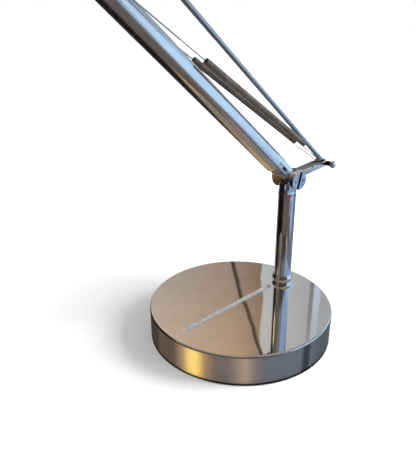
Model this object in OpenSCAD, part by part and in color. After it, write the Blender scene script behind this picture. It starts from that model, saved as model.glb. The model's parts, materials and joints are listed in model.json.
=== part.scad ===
// Architect lamp: a round weighted base with an off-centre post, two spring balanced
// parallel arms and a tilting metal shade.
// Frame: millimetres, +Z up, origin at the centre of the base's underside. The arms reach
// towards -X. The arms' plane is parallel to XZ, and the near side of the lamp is -Y.
// In the arms' plane a place is [back, up], and "side" is the distance towards -Y.

/* [Base] */
// Diameter of the round base
base_d = 200; // [170:1:240]
// Height of the base above the table
base_h = 35; // [30:1:45]
// Thickness of the base's metal cover
base_wall = 1.4; // [1:0.1:2]
// Radius of the cover's rounded rim
base_rim_r = 2.5; // [1.6:0.1:4]
// Height of the cover's lower edge above the table
cover_lift = 0.8; // [0.4:0.1:1.5]
// Thickness of the pad under the base
pad_h = 2; // [1.6:0.1:4]
// How far the pad's edge is set in from the cover's edge
pad_inset = 3; // [2:0.5:8]
// Angle from the arms' plane to the diameter that holds the post and the pen groove
base_turn = 8.35; // [0:0.05:20]
// Distance from the pen groove's end by the post to the post's axis
groove_post_gap = 22.3; // [18:0.1:40]
// Distance from the pen groove's other end to the base's edge
groove_edge = 15.6; // [12:0.1:40]
// Width of the pen groove
groove_w = 6.6; // [5:0.1:9]
// Depth of the pen groove
groove_depth = 2.4; // [1.5:0.1:3]
// Bore of the cord inlet's bush
inlet_bore_d = 6.5; // [5:0.1:8]

/* [Post] */
// Distance from the post's axis to the base's edge
post_edge = 26.1; // [22:0.1:34]
// Outer diameter of the post
post_d = 20; // [18:0.5:24]
// Wall of the post's tube
post_wall = 1.5; // [1:0.1:2]
// Height of the tube's top above the table
post_top = 142.6; // [120:0.1:200]
// Height of the lower arm's pivot above the post's top
pivot_rise = 20; // [19:0.1:24]
// Widest diameter of the flared collar at the post's foot
collar_d = 24.4; // [23.5:0.1:28]
// Height of the flared collar
collar_h = 9; // [7:0.5:14]

/* [Joints] */
// Clear width between each pair of side plates
fork_gap = 9.2; // [8.8:0.1:11]
// Thickness of a side plate
plate_t = 2.8; // [2:0.1:3.5]
// Diameter of the axle in each arm pivot
axle_d = 5; // [4:0.1:5.4]
// Diameter of the small pins
pin_d = 3; // [2.4:0.1:3.2]
// Diameter of the slotted disc on the lower pivot
disc_d = 20; // [16:0.5:24]
// Thickness of the slotted disc
disc_t = 5; // [4:0.1:7]
// Inner face of the lower slotted disc, from the arms' plane
disc_side = 12.5; // [12:0.1:16]
// Width of the coin slot
coin_slot_w = 3.2; // [2:0.1:4]
// Depth of the coin slot
coin_slot_depth = 3; // [1:0.1:3.2]
// Lean of the lower coin slot from upright
coin_slot_turn = 13; // [-90:1:90]
// Diameter of the lower knurled wheel
wheel_d = 25; // [20:0.5:28]
// Thickness of a knurled wheel
wheel_t = 2.6; // [2:0.1:5]
// Inner face of the lower wheel, from the arms' plane
wheel_side = 11.3; // [11.2:0.1:14]
// Number of notches round a knurled wheel
knurl_n = 28; // [16:1:40]
// Diameter of the elbow's and the head's slotted discs
small_disc_d = 16; // [13:0.5:18]
// Thickness of the elbow's and the head's slotted discs
small_disc_t = 4; // [3.5:0.1:5]

/* [Lever] */
// Distance of the rod's pin behind the lower pivot
lever_back = 53.5; // [48:0.1:60]
// Height of the rod's pin above the lower pivot
lever_rise = 9.1; // [6:0.1:14]
// Distance of the lever's root boss behind the lower pivot
root_back = 14.3; // [13.5:0.1:17]
// Height of the lever's root boss above the lower pivot
root_rise = 2.9; // [2:0.1:4.5]
// Radius of the lever's root boss
root_r = 4.4; // [3.8:0.1:4.6]
// Half height of a lever bar at its root
bar_root_r = 2.8; // [2.4:0.1:3.6]
// Half height of a lever bar at its pin
bar_end_r = 2.6; // [2.4:0.1:3.2]
// Diameter of the sleeve on the near end of the lever's pin
sleeve_d = 5.8; // [5:0.1:8]
// Inner face of the domed cap, from the arms' plane
cap_side = 14; // [10:0.5:20]
// Diameter of the domed cap
cap_d = 8.4; // [7:0.1:10]

/* [Lower arm] */
// Distance between the lower arm's two pivots
low_len = 400; // [370:1:440]
// Lean of the lower arm above the horizontal
low_lean = 42.1; // [38:0.1:46]
// Outer diameter of the lower arm's tube
low_tube_d = 21.6; // [20.8:0.1:22]
// Wall of the lower arm's tube
low_tube_wall = 1.5; // [1:0.1:1.8]
// Distance from the pivot to the tube's lower end, on its axis
low_root_gap = 13; // [12.6:0.1:16]
// Distance from the upper pivot to the tube's upper end, on its axis
low_tip_gap = 24; // [23:0.5:28]
// Lean of the tube's slanted ends
end_slant = 34; // [28:1:36]
// Length of the slot under the tube's lower end, from the pivot
under_slot_l = 30.5; // [27:0.5:32]
// Distance of the under slot's edges below the tube's axis
under_slot_drop = 3.5; // [2.4:0.1:5]
// Length of the notch on the tube's top at its lower end, from the pivot
top_notch_l = 23.6; // [18:0.2:23.8]
// Height of the top notch's floor above the tube's axis
top_notch_rise = 7.6; // [7:0.1:9]
// Depth of the tongue's chin below the tube's axis
chin_drop = 6.2; // [5:0.1:6.4]
// Distance from the springs' anchor pin to the upper pivot
low_anchor_back = 93; // [85:1:105]

/* [Upper arm] */
// Distance of the upper arm's pivot behind the lower arm's top
up_root_back = 8; // [4:0.5:12]
// Height of the upper arm's pivot above the lower arm's top
up_root_rise = 44; // [42:0.5:52]
// Distance of the upper rod's pin behind the upper arm's pivot
up_pin_back = 16; // [12:0.5:20]
// Height of the upper rod's pin above the upper arm's pivot
up_pin_rise = 34; // [32:0.5:40]
// Distance between the upper arm's two pivots
up_len = 360; // [330:1:400]
// Drop of the upper arm below the horizontal
up_drop = 6; // [0:0.5:10]
// Outer diameter of the upper arm's tube
up_tube_d = 18; // [17.4:0.1:18.6]
// Wall of the upper arm's tube
up_tube_wall = 1.3; // [1:0.1:1.5]
// Distance from the pivot to the upper tube's root end, on its axis
up_root_gap = 13; // [12:0.5:16]
// Distance from the head's pivot to the upper tube's end, on its axis
up_tip_gap = 17; // [16:0.5:22]
// Distance from the upper springs' anchor pin to the head's pivot
up_anchor_back = 130; // [120:1:140]

/* [Rods and springs] */
// Diameter of the parallel rods
rod_d = 5; // [4:0.1:5.2]
// Thickness of the rods' flattened ends
rod_flat_t = 3; // [2.4:0.1:3.2]
// Outer diameter of a spring's coil
spring_d = 6.5; // [6:0.1:7]
// Diameter of the spring wire
wire_d = 0.9; // [0.7:0.05:1]
// Curls in the coil of one spring
curls = 21; // [12:1:22]
// Start of a lower coil, from its pin
low_coil_start = 47; // [38:1:54]
// Length of a lower coil, as a share of the way between its pins
low_coil_share = 0.469; // [0.36:0.001:0.48]
// Start of an upper coil, from its pin
up_coil_start = 34; // [28:1:40]
// Length of an upper coil, as a share of the way between its pins
up_coil_share = 0.378; // [0.32:0.001:0.4]
// Diameter of the wire links above the coils
link_d = 1.2; // [1:0.05:1.4]

/* [Head] */
// Reach of the head's swivel in front of the upper arm's end
neck_reach = 24; // [22:0.5:30]
// Drop of the head's swivel below the upper arm's end
neck_drop = 4; // [0:0.5:8]
// Drop of the tilt axle below the head's swivel block
tilt_drop = 26; // [25:0.5:32]
// Diameter of the lamp housing
housing_d = 46; // [42:0.5:52]
// Length of the lamp housing
housing_l = 50; // [46:0.5:60]
// Diameter of the shade's rim
shade_d = 160; // [140:1:190]
// Height of the shade's curved part
shade_h = 80; // [74:1:100]
// Height of the straight skirt at the shade's rim
skirt_h = 8; // [4:0.5:12]
// Thickness of the shade's metal
shade_wall = 1; // [0.8:0.1:1.6]
// Diameter of the bulb's globe
bulb_d = 50; // [45:1:56]
// Travel of the push switch
button_travel = 2.5; // [1:0.1:3]

/* [Hidden] */

// Smoothness of round shapes
$fn = 72;
// Overrun of every cut past the faces it leaves
cut = 1;
// Radial clearance of pins and axles that turn or slide
fit = 0.05;
// Gap between faces that move past each other
slip = 0.3;
// Where the straight side of a link lies, as a share of its end's radius
side_share = 0.99;
// The turn that faces a thing the other way
half_turn = 180;

base_r = base_d / 2;
post_offset = base_r - post_edge;
post_x = post_offset * cos(base_turn);
post_y = post_offset * sin(base_turn);
pivot_z = post_top + pivot_rise;

// Base
pad_r = base_r - pad_inset;
cover_inner_r = base_r - base_wall;
weight_gap = 0.4;
weight_r = cover_inner_r - weight_gap;
weight_top = base_h - base_wall;
groove_near = post_offset - groove_post_gap;
groove_far = base_r - groove_edge;
groove_l = groove_near + groove_far;
groove_shift = (groove_near - groove_far) / 2;
groove_r = (groove_w * groove_w / 4 + groove_depth * groove_depth) / (2 * groove_depth);
trough_w = groove_w + 2 * base_wall;
trough_depth = groove_depth + base_wall;
inlet_z = base_h * 0.4;
inlet_bush_d = inlet_bore_d + 4 * base_wall;
inlet_flange_t = 1.6;
inlet_flange_d = inlet_bush_d + 4 * base_wall;
inlet_l = 14;
inlet_channel_w = inlet_bore_d;

// Post
stud_d = 10;
lead_bore_d = 6;
stud_plug_l = 26;
nut_d = 19;
nut_h = 6;
nut_room = 2.5;
nut_room_d = nut_d + 2 * nut_room;
nut_z = 4.2;
nut_seat_z = nut_z + nut_h;
bush_flange_t = 0.5;
bush_l = 30;
spindle_d = 12;
post_bore_r = post_d / 2 - post_wall;
collar_foot_share = 0.45;
collar_flat_share = 0.12;

// Swivel head and lever
flange_h = 3.05;
flange_over = 0.3;
flange_z = post_top + bush_flange_t + fit;
ledge_z = flange_z + flange_h;
half_gap = fork_gap / 2;
plate_out = half_gap + plate_t;
block_clear = 1;
foot_half_w = 6.8;
foot_h = 4.2;
neck_half_w = 4.6;
pivot_boss_r = 7.2;
tongue_r = 4.6;
washer_t = 0.5;
tongue_half = half_gap - washer_t - 2 * fit;
tongue_w = 2 * tongue_half;
washer_r = 4.4;
rivet_d = 3;
rivet_head_d = 5;
rivet_head_h = 1.1;
lever = [lever_back, lever_rise];
lever_root = [root_back, root_rise];
block_top_z = pivot_z - tongue_r - block_clear;
rivet_rise = ledge_z + foot_h / 2 - pivot_z;
foot_rivet_d = 2.2;
foot_rivet_at = (lead_bore_d / 2 + foot_half_w) / 2;
shoulder_d = 11;
dimple_d = 2;
dimple_depth = 0.8;
dimple_share = 0.54;
wheel_hub_d = 12;
knurl_r = 0.8;
axle_end = 1.6;
far_nut_d = 5.2;
far_nut_t = 2.8;
cap_l = 4.2;

// Lower arm
low_dir = [-cos(low_lean), sin(low_lean)];
low_tip = low_len * low_dir;
low_anchor = low_len - low_anchor_back;
low_coil_l = low_coil_share * norm(low_anchor * low_dir - lever);
low_r = low_tube_d / 2;
low_bore_r = low_r - low_tube_wall;
root_plug_start = 24;
plug_l = 34;
tip_plug_gap = 3;
pin_slot_start = 16;
pin_slot_l = 18;
pin_slot_w = 3.7;
pin_slot_play = 2;
chin_start = 5.5;
chin_r = 3;
root_pin_at = pin_slot_start + pin_slot_play;
cross_pin_d = 2.9;
tip_pin_back = 42;
anchor_head_d = 5.6;
anchor_head_t = 1;
link_side_gap = 1.5;

// Elbow
elbow_a_r = 6.5;
elbow_b_r = 5;
up_root = low_tip + [up_root_back, up_root_rise];
up_lever = [up_pin_back, up_pin_rise];
up_pin_at = up_root + up_lever;
low_pin_at = low_tip + lever;
spacer_d = 6.4;
small_head_d = 5.4;
big_head_d = 9;
head_h = 1.5;

// Upper arm
up_dir = [-cos(up_drop), -sin(up_drop)];
up_tip = up_root + up_len * up_dir;
up_anchor = up_len - up_anchor_back;
up_coil_l = up_coil_share * norm(up_anchor * up_dir - up_lever);
up_r = up_tube_d / 2;
up_bore_r = up_r - up_tube_wall;
up_slant = 26;
up_plug_start = 22;
up_tip_pin_back = 36;
side_step = 0.6;

// Rods and springs
eye_r = 4.2;
flat_l = 14;
hook_side = 3.3;
spring_side = 5.9;
coil_r = (spring_d - wire_d) / 2;
hook_gap = 0.3;
hook_r = pin_d / 2 + wire_d / 2 + hook_gap;
hook_start_turn = 340;
hook_step_turn = 50;
hook_steps = 5;
curl_rings = 8;
tube_sides = 6;
link_overlap = 18;
link_ring_r = pin_d / 2 + link_d / 2 + fit;

// Head
neck = up_tip + [-neck_reach, -neck_drop];
tilt_at = neck + [0, -tilt_drop];
neck_r = 9;
yoke_r = 7;
yoke_top = neck_r + slip;
stud_r = 3;
stud_cap_r = half_gap - slip;
stud_cap_h = 3;
ear_r = 6.5;
cap_drop = 14;
cap_t = 4;
cap_r = housing_d / 2;
housing_wall = 1.2;
housing_top = -cap_drop - cap_t;
shade_top = housing_top - housing_l;
socket_d = 35;
socket_bore_d = 26.8;
socket_top_gap = 6;
socket_out = 7;
shoulder_over = 2;
shoulder_h = 3;
ring_over = 4;
ring_t = 4;
bulb_cap_d = 26;
bulb_cap_l = 25;
glass_t = 1;
bulb_neck_l = 6;
bulb_l = 64;
shade_steps = 16;
bead_r = 1.2;
button_d = 7;
button_l = 9;
button_at = 14.5;
bush_h = 4;
bush_d = 11;
vent_n = 10;
vent_d = 4;

// Small helpers

function unit(v) = v / norm(v);
function heading(a) = [cos(a), sin(a)];

// A place in the arms' plane as a place in space
module plane_at(p) {
    translate([post_x + p[0], post_y, pivot_z + p[1]])
        children();
}

// A flat outline drawn as [back, up], made solid from one side distance to another
module across(side_from, side_to) {
    translate([0, -side_from, 0])
        rotate([90, 0, 0])
            linear_extrude(side_to - side_from)
                children();
}

// A round bar across the arms' plane
module cross_bar(d, side_from, side_to) {
    across(side_from, side_to)
        circle(d = d);
}

// The frame of an arm: x is its normal, z runs along it from its root pivot
module arm_at(p, lean) {
    plane_at(p)
        rotate([0, lean - 90, 0])
            children();
}

// Two round ends joined by straight sides just inside their outer tangents
module link_2d(p, p_r, q, q_r) {
    run = q - p;
    turn = acos((p_r - q_r) / norm(run));
    base = atan2(run[1], run[0]);
    polygon([
        p + side_share * p_r * heading(base - turn),
        q + side_share * q_r * heading(base - turn),
        q + side_share * q_r * heading(base + turn),
        p + side_share * p_r * heading(base + turn)
    ]);
    translate(p)
        circle(r = p_r);
    translate(q)
        circle(r = q_r);
}

// A round bar along z with a domed end
module dome(d, h) {
    r = (d * d / 4 + h * h) / (2 * h);
    intersection() {
        translate([0, 0, h - r])
            sphere(r = r);
        cylinder(d = d, h = h);
    }
}

// A domed head on the near side (+1) or the far side (-1)
module side_dome(d, h, side, way) {
    translate([0, -way * side, 0])
        rotate([way * 90, 0, 0])
            dome(d, h);
}

// A rivet with domed heads on both sides
module rivet(d, head_d, h, side) {
    cross_bar(d, -side, side);
    for (way = [-1, 1])
        side_dome(head_d, h, side, way);
}

// A slotted disc screw: its disc is on the near side, its axle runs to the far side
module slotted_screw(d, t, side, turn, far_end) {
    cross_bar(axle_d, -far_end, plate_out + fit);
    cross_bar(shoulder_d, plate_out, side + fit);
    difference() {
        cross_bar(d, side, side + t);
        rotate([0, turn, 0])
            across(side + t - coin_slot_depth, side + t + cut)
                square([coin_slot_w, d + cut], center = true);
        for (way = [-1, 1])
            translate([way * dimple_share * d / 2, 0, 0])
                cross_bar(dimple_d, side + t - dimple_depth, side + t + cut);
    }
}

// A knurled wheel with its hub towards the arms' plane
module knurled_wheel(d, side) {
    difference() {
        union() {
            cross_bar(wheel_hub_d, -side - fit, -plate_out - slip);
            cross_bar(d, -side - wheel_t, -side);
        }
        cross_bar(axle_d + 2 * fit, -side - wheel_t - cut, -plate_out + cut);
        for (i = [0 : knurl_n - 1])
            rotate([0, i * 360 / knurl_n, 0])
                translate([d / 2, 0, 0])
                    cross_bar(2 * knurl_r, -side - wheel_t - cut, -side + cut);
    }
}

// Friction washers on both sides of an arm's tongue
module washer_pair() {
    for (way = [-1, 1])
        difference() {
            cross_bar(2 * washer_r, way * (tongue_half + fit + washer_t / 2) - washer_t / 2,
                way * (tongue_half + fit + washer_t / 2) + washer_t / 2);
            cross_bar(axle_d + 4 * fit, -fork_gap, fork_gap);
        }
}

// Base

module cover_outline() {
    translate([0, cover_lift])
        square([base_r, base_h - base_rim_r - cover_lift]);
    translate([0, cover_lift])
        square([base_r - base_rim_r, base_h - cover_lift]);
    translate([base_r - base_rim_r, base_h - base_rim_r])
        circle(r = base_rim_r);
}

module trough_room(w, depth, top) {
    half_run = (groove_l - groove_w) / 2;
    translate([groove_shift, 0, top - depth])
        linear_extrude(depth) {
            square([2 * half_run, w], center = true);
            for (way = [-1, 1])
                translate([way * half_run, 0])
                    circle(d = w);
        }
}

module pen_groove() {
    half_run = (groove_l - groove_w) / 2;
    translate([groove_shift, 0, base_h - groove_depth + groove_r]) {
        rotate([0, 90, 0])
            cylinder(r = groove_r, h = 2 * half_run, center = true);
        for (way = [-1, 1])
            translate([way * half_run, 0, 0])
                sphere(r = groove_r);
    }
}

module base_cover() {
    color("silver")
        rotate([0, 0, base_turn])
            difference() {
                union() {
                    difference() {
                        rotate_extrude()
                            cover_outline();
                        translate([0, 0, -cut])
                            cylinder(r = cover_inner_r, h = base_h - base_wall + cut);
                    }
                    trough_room(trough_w, trough_depth, base_h - base_wall / 2);
                }
                pen_groove();
                translate([post_offset, 0, 0])
                    cylinder(d = stud_d + 2 * fit, h = base_h + cut);
                translate([0, 0, inlet_z])
                    rotate([0, 90, 0])
                        cylinder(d = inlet_bush_d + 2 * fit, h = base_r + cut);
            }
}

module base_weight() {
    color("dimgray")
        rotate([0, 0, base_turn])
            difference() {
                translate([0, 0, pad_h])
                    cylinder(r = weight_r, h = weight_top - pad_h);
                trough_room(trough_w + 2 * weight_gap, trough_depth + weight_gap,
                    base_h - base_wall / 2);
                translate([post_offset, 0, 0]) {
                    cylinder(d = stud_d + 2 * weight_gap, h = base_h);
                    cylinder(d = nut_room_d, h = nut_seat_z);
                }
                translate([post_offset, -inlet_channel_w / 2, 0])
                    cube([base_r, inlet_channel_w, inlet_z + inlet_bore_d / 2]);
                translate([base_r - inlet_l - weight_gap, 0, inlet_z])
                    rotate([0, 90, 0])
                        cylinder(d = inlet_bush_d + 2 * weight_gap, h = base_r);
            }
}

module base_pad() {
    color("black")
        cylinder(r = pad_r, h = pad_h);
}

module base_nut() {
    color("goldenrod")
        rotate([0, 0, base_turn])
            translate([post_offset, 0, nut_z])
                difference() {
                    cylinder(d = nut_d, h = nut_h, $fn = 6);
                    translate([0, 0, -cut])
                        cylinder(d = stud_d + 2 * fit, h = nut_h + 2 * cut);
                }
}

module cord_inlet_bush() {
    color("black")
        rotate([0, 0, base_turn])
            translate([0, 0, inlet_z])
                rotate([0, 90, 0])
                    difference() {
                        union() {
                            translate([0, 0, base_r - inlet_l])
                                cylinder(d = inlet_bush_d, h = inlet_l);
                            translate([0, 0, base_r])
                                cylinder(d1 = inlet_flange_d, d2 = inlet_bush_d,
                                    h = inlet_flange_t);
                        }
                        translate([0, 0, base_r - inlet_l - cut])
                            cylinder(d = inlet_bore_d, h = inlet_l + inlet_flange_t + 2 * cut);
                    }
}

// Post

module at_post() {
    translate([post_x, post_y, 0])
        children();
}

module post_stud() {
    color("lightgray")
        at_post()
            difference() {
                union() {
                    translate([0, 0, nut_z + fit])
                        cylinder(d = stud_d, h = base_h - nut_z);
                    translate([0, 0, base_h])
                        cylinder(r = post_bore_r - fit, h = stud_plug_l);
                }
                cylinder(d = lead_bore_d, h = base_h + stud_plug_l + cut);
            }
}

module post_tube() {
    color("silver")
        at_post()
            translate([0, 0, base_h])
                difference() {
                    cylinder(d = post_d, h = post_top - base_h);
                    translate([0, 0, -cut])
                        cylinder(r = post_bore_r, h = post_top - base_h + 2 * cut);
                }
}

module post_collar() {
    inner = post_d / 2 + fit;
    foot = inner + (collar_d / 2 - inner) * collar_foot_share;
    color("silver")
        at_post()
            translate([0, 0, base_h])
                rotate_extrude()
                    polygon([
                        [inner, 0],
                        [foot, 0],
                        [collar_d / 2, collar_h * collar_foot_share],
                        [collar_d / 2, collar_h * (collar_foot_share + collar_flat_share)],
                        [inner + base_wall / 4, collar_h],
                        [inner, collar_h]
                    ]);
}

module swivel_bush() {
    color("white")
        at_post()
            difference() {
                union() {
                    translate([0, 0, post_top - bush_l])
                        cylinder(r = post_bore_r - fit, h = bush_l);
                    translate([0, 0, post_top])
                        cylinder(d = post_d, h = bush_flange_t);
                }
                translate([0, 0, post_top - bush_l - cut])
                    cylinder(d = spindle_d + 2 * fit, h = bush_l + bush_flange_t + 2 * cut);
            }
}

// Swivel head and lever

module swivel_head() {
    color("silver")
        difference() {
            union() {
                at_post() {
                    translate([0, 0, flange_z - bush_l])
                        cylinder(d = spindle_d, h = bush_l);
                    translate([0, 0, flange_z])
                        cylinder(r = post_d / 2 + flange_over, h = flange_h);
                    intersection() {
                        translate([0, 0, flange_z])
                            cylinder(d = post_d, h = block_top_z - flange_z);
                        translate([-post_d / 2, -half_gap, flange_z])
                            cube([post_d, fork_gap, block_top_z - flange_z]);
                    }
                }
            }
            at_post()
                translate([0, 0, flange_z - bush_l - cut])
                    cylinder(d = lead_bore_d, h = block_top_z - flange_z + bush_l + 2 * cut);
            for (way = [-1, 1])
                plane_at([way * foot_rivet_at, rivet_rise])
                    cross_bar(foot_rivet_d + 2 * fit, -plate_out, plate_out);
        }
}

module lever_outline() {
    difference() {
        union() {
            link_2d([0, 0], pivot_boss_r, lever_root, root_r);
            link_2d(lever_root, bar_root_r, lever, bar_end_r);
            translate([-foot_half_w, ledge_z - pivot_z])
                square([2 * foot_half_w, foot_h]);
            translate([-neck_half_w, ledge_z - pivot_z])
                square([2 * neck_half_w, pivot_z - ledge_z]);
        }
        circle(d = axle_d + 2 * fit);
        translate(lever)
            circle(d = pin_d + 2 * fit);
        translate(lever_root)
            circle(d = rivet_d + 2 * fit);
        for (way = [-1, 1])
            translate([way * foot_rivet_at, rivet_rise])
                circle(d = foot_rivet_d + 2 * fit);
    }
}

module lever_plate_near() {
    color("silver")
        plane_at([0, 0])
            across(half_gap, plate_out)
                lever_outline();
}

module lever_plate_far() {
    color("silver")
        plane_at([0, 0])
            across(-plate_out, -half_gap)
                lever_outline();
}

module lever_rivets() {
    color("lightgray") {
        for (way = [-1, 1])
            plane_at([way * foot_rivet_at, rivet_rise])
                cross_bar(foot_rivet_d, -plate_out, plate_out);
        plane_at(lever_root) {
            rivet(rivet_d, rivet_head_d, rivet_head_h, plate_out);
            cross_bar(spacer_d, -half_gap, half_gap);
        }
    }
}

module pivot_screw() {
    color("silver")
        plane_at([0, 0])
            slotted_screw(disc_d, disc_t, disc_side, coin_slot_turn,
                wheel_side + wheel_t + axle_end);
}

module pivot_washers() {
    color("ivory")
        plane_at([0, 0])
            washer_pair();
}

module pivot_wheel() {
    color("darkgoldenrod")
        plane_at([0, 0])
            knurled_wheel(wheel_d, wheel_side);
}

module lever_pin() {
    color("dimgray")
        plane_at(lever) {
            cross_bar(pin_d, -plate_out - far_nut_t, cap_side);
            cross_bar(far_nut_d, -plate_out - far_nut_t, -plate_out);
            cross_bar(sleeve_d, plate_out, cap_side);
        }
}

module lever_pin_cap() {
    color("silver")
        plane_at(lever) {
            cross_bar(cap_d, cap_side, cap_side + cap_l / 2);
            side_dome(cap_d, cap_l / 2, cap_side + cap_l / 2, 1);
        }
}

// Arms

// A tube with parallel slanted ends and holes for its cross pins and anchor pin
module arm_tube(r, bore_r, len, root_gap, tip_gap, slant, anchor, tip_pin) {
    long = len + 4 * r;
    difference() {
        cylinder(r = r, h = len);
        translate([0, 0, -cut])
            cylinder(r = bore_r, h = len + 2 * cut);
        translate([0, 0, root_gap])
            rotate([0, slant, 0])
                translate([-long, -long, -2 * long])
                    cube(2 * long);
        translate([0, 0, len - tip_gap])
            rotate([0, slant, 0])
                translate([-long, -long, 0])
                    cube(2 * long);
        translate([0, 0, anchor])
            cross_bar(pin_d + 2 * fit, -r - cut, r + cut);
        translate([0, 0, len - tip_pin])
            cross_bar(cross_pin_d + 2 * fit, -r - cut, r + cut);
    }
}

// The slot that both side walls of a tube's root have for its cross pin
module pin_slot(r, start, run) {
    across(-r - cut, r + cut) {
        translate([0, start + run / 2])
            square([pin_slot_w, run - pin_slot_w], center = true);
        for (end = [start + pin_slot_w / 2, start + run - pin_slot_w / 2])
            translate([0, end])
                circle(d = pin_slot_w);
    }
}

// A plug in a tube with a tongue that ends in a round eye at the pivot
module root_fitting(bore_r, plug_start, pin_at) {
    difference() {
        union() {
            across(-tongue_half, tongue_half) {
                circle(r = tongue_r);
                translate([-tongue_r, 0])
                    square([2 * tongue_r, plug_start + cut]);
            }
            translate([0, 0, plug_start])
                cylinder(r = bore_r - fit, h = plug_l);
        }
        cross_bar(axle_d + 2 * fit, -tongue_w, tongue_w);
        translate([0, 0, pin_at])
            cross_bar(cross_pin_d + 2 * fit, -bore_r - cut, bore_r + cut);
    }
}

module cross_pin(r, at) {
    translate([0, 0, at])
        cross_bar(cross_pin_d, -r, r);
}

module lower_tube() {
    color("silver")
        arm_at([0, 0], low_lean)
            difference() {
                arm_tube(low_r, low_bore_r, low_len, low_root_gap, low_tip_gap, end_slant,
                    low_anchor, tip_pin_back);
                translate([-2 * low_r - under_slot_drop, -low_r, -cut])
                    cube([2 * low_r, 2 * low_r, under_slot_l + cut]);
                translate([top_notch_rise, -low_r, -cut])
                    cube([2 * low_r, 2 * low_r, top_notch_l + cut]);
                pin_slot(low_r, pin_slot_start, pin_slot_l);
            }
}

// The part of the lower tongue that fills the under slot, with one rounded corner
module chin() {
    run = root_plug_start + cut - chin_start;
    across(-tongue_half, tongue_half) {
        translate([-chin_drop + chin_r, chin_start])
            square([chin_drop - chin_r, run]);
        translate([-chin_drop, chin_start + chin_r])
            square([chin_drop, run - chin_r]);
        translate([-chin_drop + chin_r, chin_start + chin_r])
            circle(r = chin_r);
    }
}

module chin_with_hole() {
    difference() {
        chin();
        cross_bar(axle_d + 2 * fit, -tongue_w, tongue_w);
        translate([0, 0, root_pin_at])
            cross_bar(cross_pin_d + 2 * fit, -low_bore_r, low_bore_r);
    }
}

module lower_root_fitting() {
    color("gray")
        arm_at([0, 0], low_lean) {
            root_fitting(low_bore_r, root_plug_start, root_pin_at);
            chin_with_hole();
        }
}

module lower_tip_fitting() {
    color("gray")
        arm_at(low_tip, low_lean + half_turn)
            root_fitting(low_bore_r, low_tip_gap + tip_plug_gap, tip_pin_back);
}

module lower_cross_pins() {
    color("dimgray")
        arm_at([0, 0], low_lean) {
            cross_pin(low_r, root_pin_at);
            cross_pin(low_r, low_len - tip_pin_back);
        }
}

// A pin through a tube with heads that keep the springs' links on its ends
module anchor_pin(r) {
    side = r + link_side_gap;
    cross_bar(pin_d, -side - link_d, side + link_d);
    for (way = [-1, 1])
        side_dome(anchor_head_d, anchor_head_t, side + link_d, way);
}

module lower_anchor_pin() {
    color("lightgray")
        plane_at(low_anchor * low_dir)
            anchor_pin(low_r);
}

// A rod with flattened ends and an eye at each end
module parallel_rod(len) {
    difference() {
        union() {
            translate([0, 0, flat_l - rod_d / 2])
                cylinder(d = rod_d, h = len - 2 * flat_l + rod_d);
            across(-rod_flat_t / 2, rod_flat_t / 2) {
                for (end = [0, len])
                    translate([0, end])
                        circle(r = eye_r);
                translate([-rod_d / 2, 0])
                    square([rod_d, flat_l]);
                translate([-rod_d / 2, len - flat_l])
                    square([rod_d, flat_l]);
            }
        }
        for (end = [0, len])
            translate([0, 0, end])
                cross_bar(pin_d + 2 * fit, -rod_flat_t, rod_flat_t);
    }
}

module lower_rod() {
    color("silver")
        arm_at(lever, low_lean)
            parallel_rod(low_len);
}

// Springs. A spring's own axes are its run from the pin to the anchor, its normal in the
// arms' plane and its side. Its path is a hook round the pin, a straight leg and the coil.

function spring_hook(way) = [
    for (i = [0 : hook_steps])
        let (turn = hook_start_turn - i * hook_step_turn)
            [hook_r * cos(turn), hook_r * sin(turn), way * hook_side]
];

function spring_coil(way, start, run, slope) = [
    for (i = [0 : curls * curl_rings])
        let (z = start + run * i / (curls * curl_rings), turn = 90 + way * 360 * i / curl_rings)
            [z, coil_r * sin(turn), way * (spring_side + slope * z) + coil_r * cos(turn)]
];

function spring_lead(way) =
    let (turn = hook_start_turn)
        [hook_r * cos(turn) - wire_d * sin(turn), hook_r * sin(turn) + wire_d * cos(turn),
            way * hook_side];

function spring_tail(way, start, run, slope) =
    let (
        ends = spring_coil(way, start, run, slope),
        last = ends[len(ends) - 1],
        way_on = unit(last - ends[len(ends) - 2])
    )
        last + wire_d * way_on;

function spring_path(way, start, run, slope) = concat(
    [spring_lead(way)],
    spring_hook(way),
    spring_coil(way, start, run, slope),
    [spring_tail(way, start, run, slope)]
);

// Least distance between two points of a path that lie more than one curl apart, less the wire
function self_gap(path) = min([
    for (i = [0 : len(path) - 1], j = [i + curl_rings - 1 : 1 : len(path) - 1])
        norm(path[i] - path[j])
]) - wire_d;

function tangent_at(path, i) =
    unit(path[min(i + 1, len(path) - 1)] - path[max(i - 1, 0)]);

function turned(n, t) = unit(n - (n * t) * t);

// Normals carried along the path without twist
function carried(path) = [
    for (
        i = 0, n = turned([0, 0, 1], tangent_at(path, 0));
        i < len(path);
        i = i + 1, n = i < len(path) ? turned(n, tangent_at(path, i)) : n
    )
        n
];

module wire_tube(path, d) {
    normals = carried(path);
    count = len(path);
    points = [
        for (i = [0 : count - 1], k = [0 : tube_sides - 1])
            let (
                t = tangent_at(path, i),
                n = normals[i],
                b = cross(t, n),
                a = k * 360 / tube_sides
            )
                path[i] + d / 2 * (cos(a) * n + sin(a) * b)
    ];
    sides = [
        for (i = [0 : count - 2], k = [0 : tube_sides - 1])
            let (
                p = i * tube_sides + k,
                q = i * tube_sides + (k + 1) % tube_sides,
                r = p + tube_sides,
                s = q + tube_sides
            )
                each [[p, r, q], [q, r, s]]
    ];
    last = (count - 1) * tube_sides;
    caps = [
        for (k = [1 : tube_sides - 2])
            each [[0, k, k + 1], [last, last + k + 1, last + k]]
    ];
    polyhedron(points = points, faces = concat(sides, caps));
}

// The frame of a spring from its pin towards its anchor: x runs along it, z is its side
module spring_at(pin_at, anchor_at) {
    run = anchor_at - pin_at;
    plane_at(pin_at)
        rotate([0, -atan2(run[1], run[0]), 0])
            rotate([90, 0, 0])
                children();
}

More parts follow.
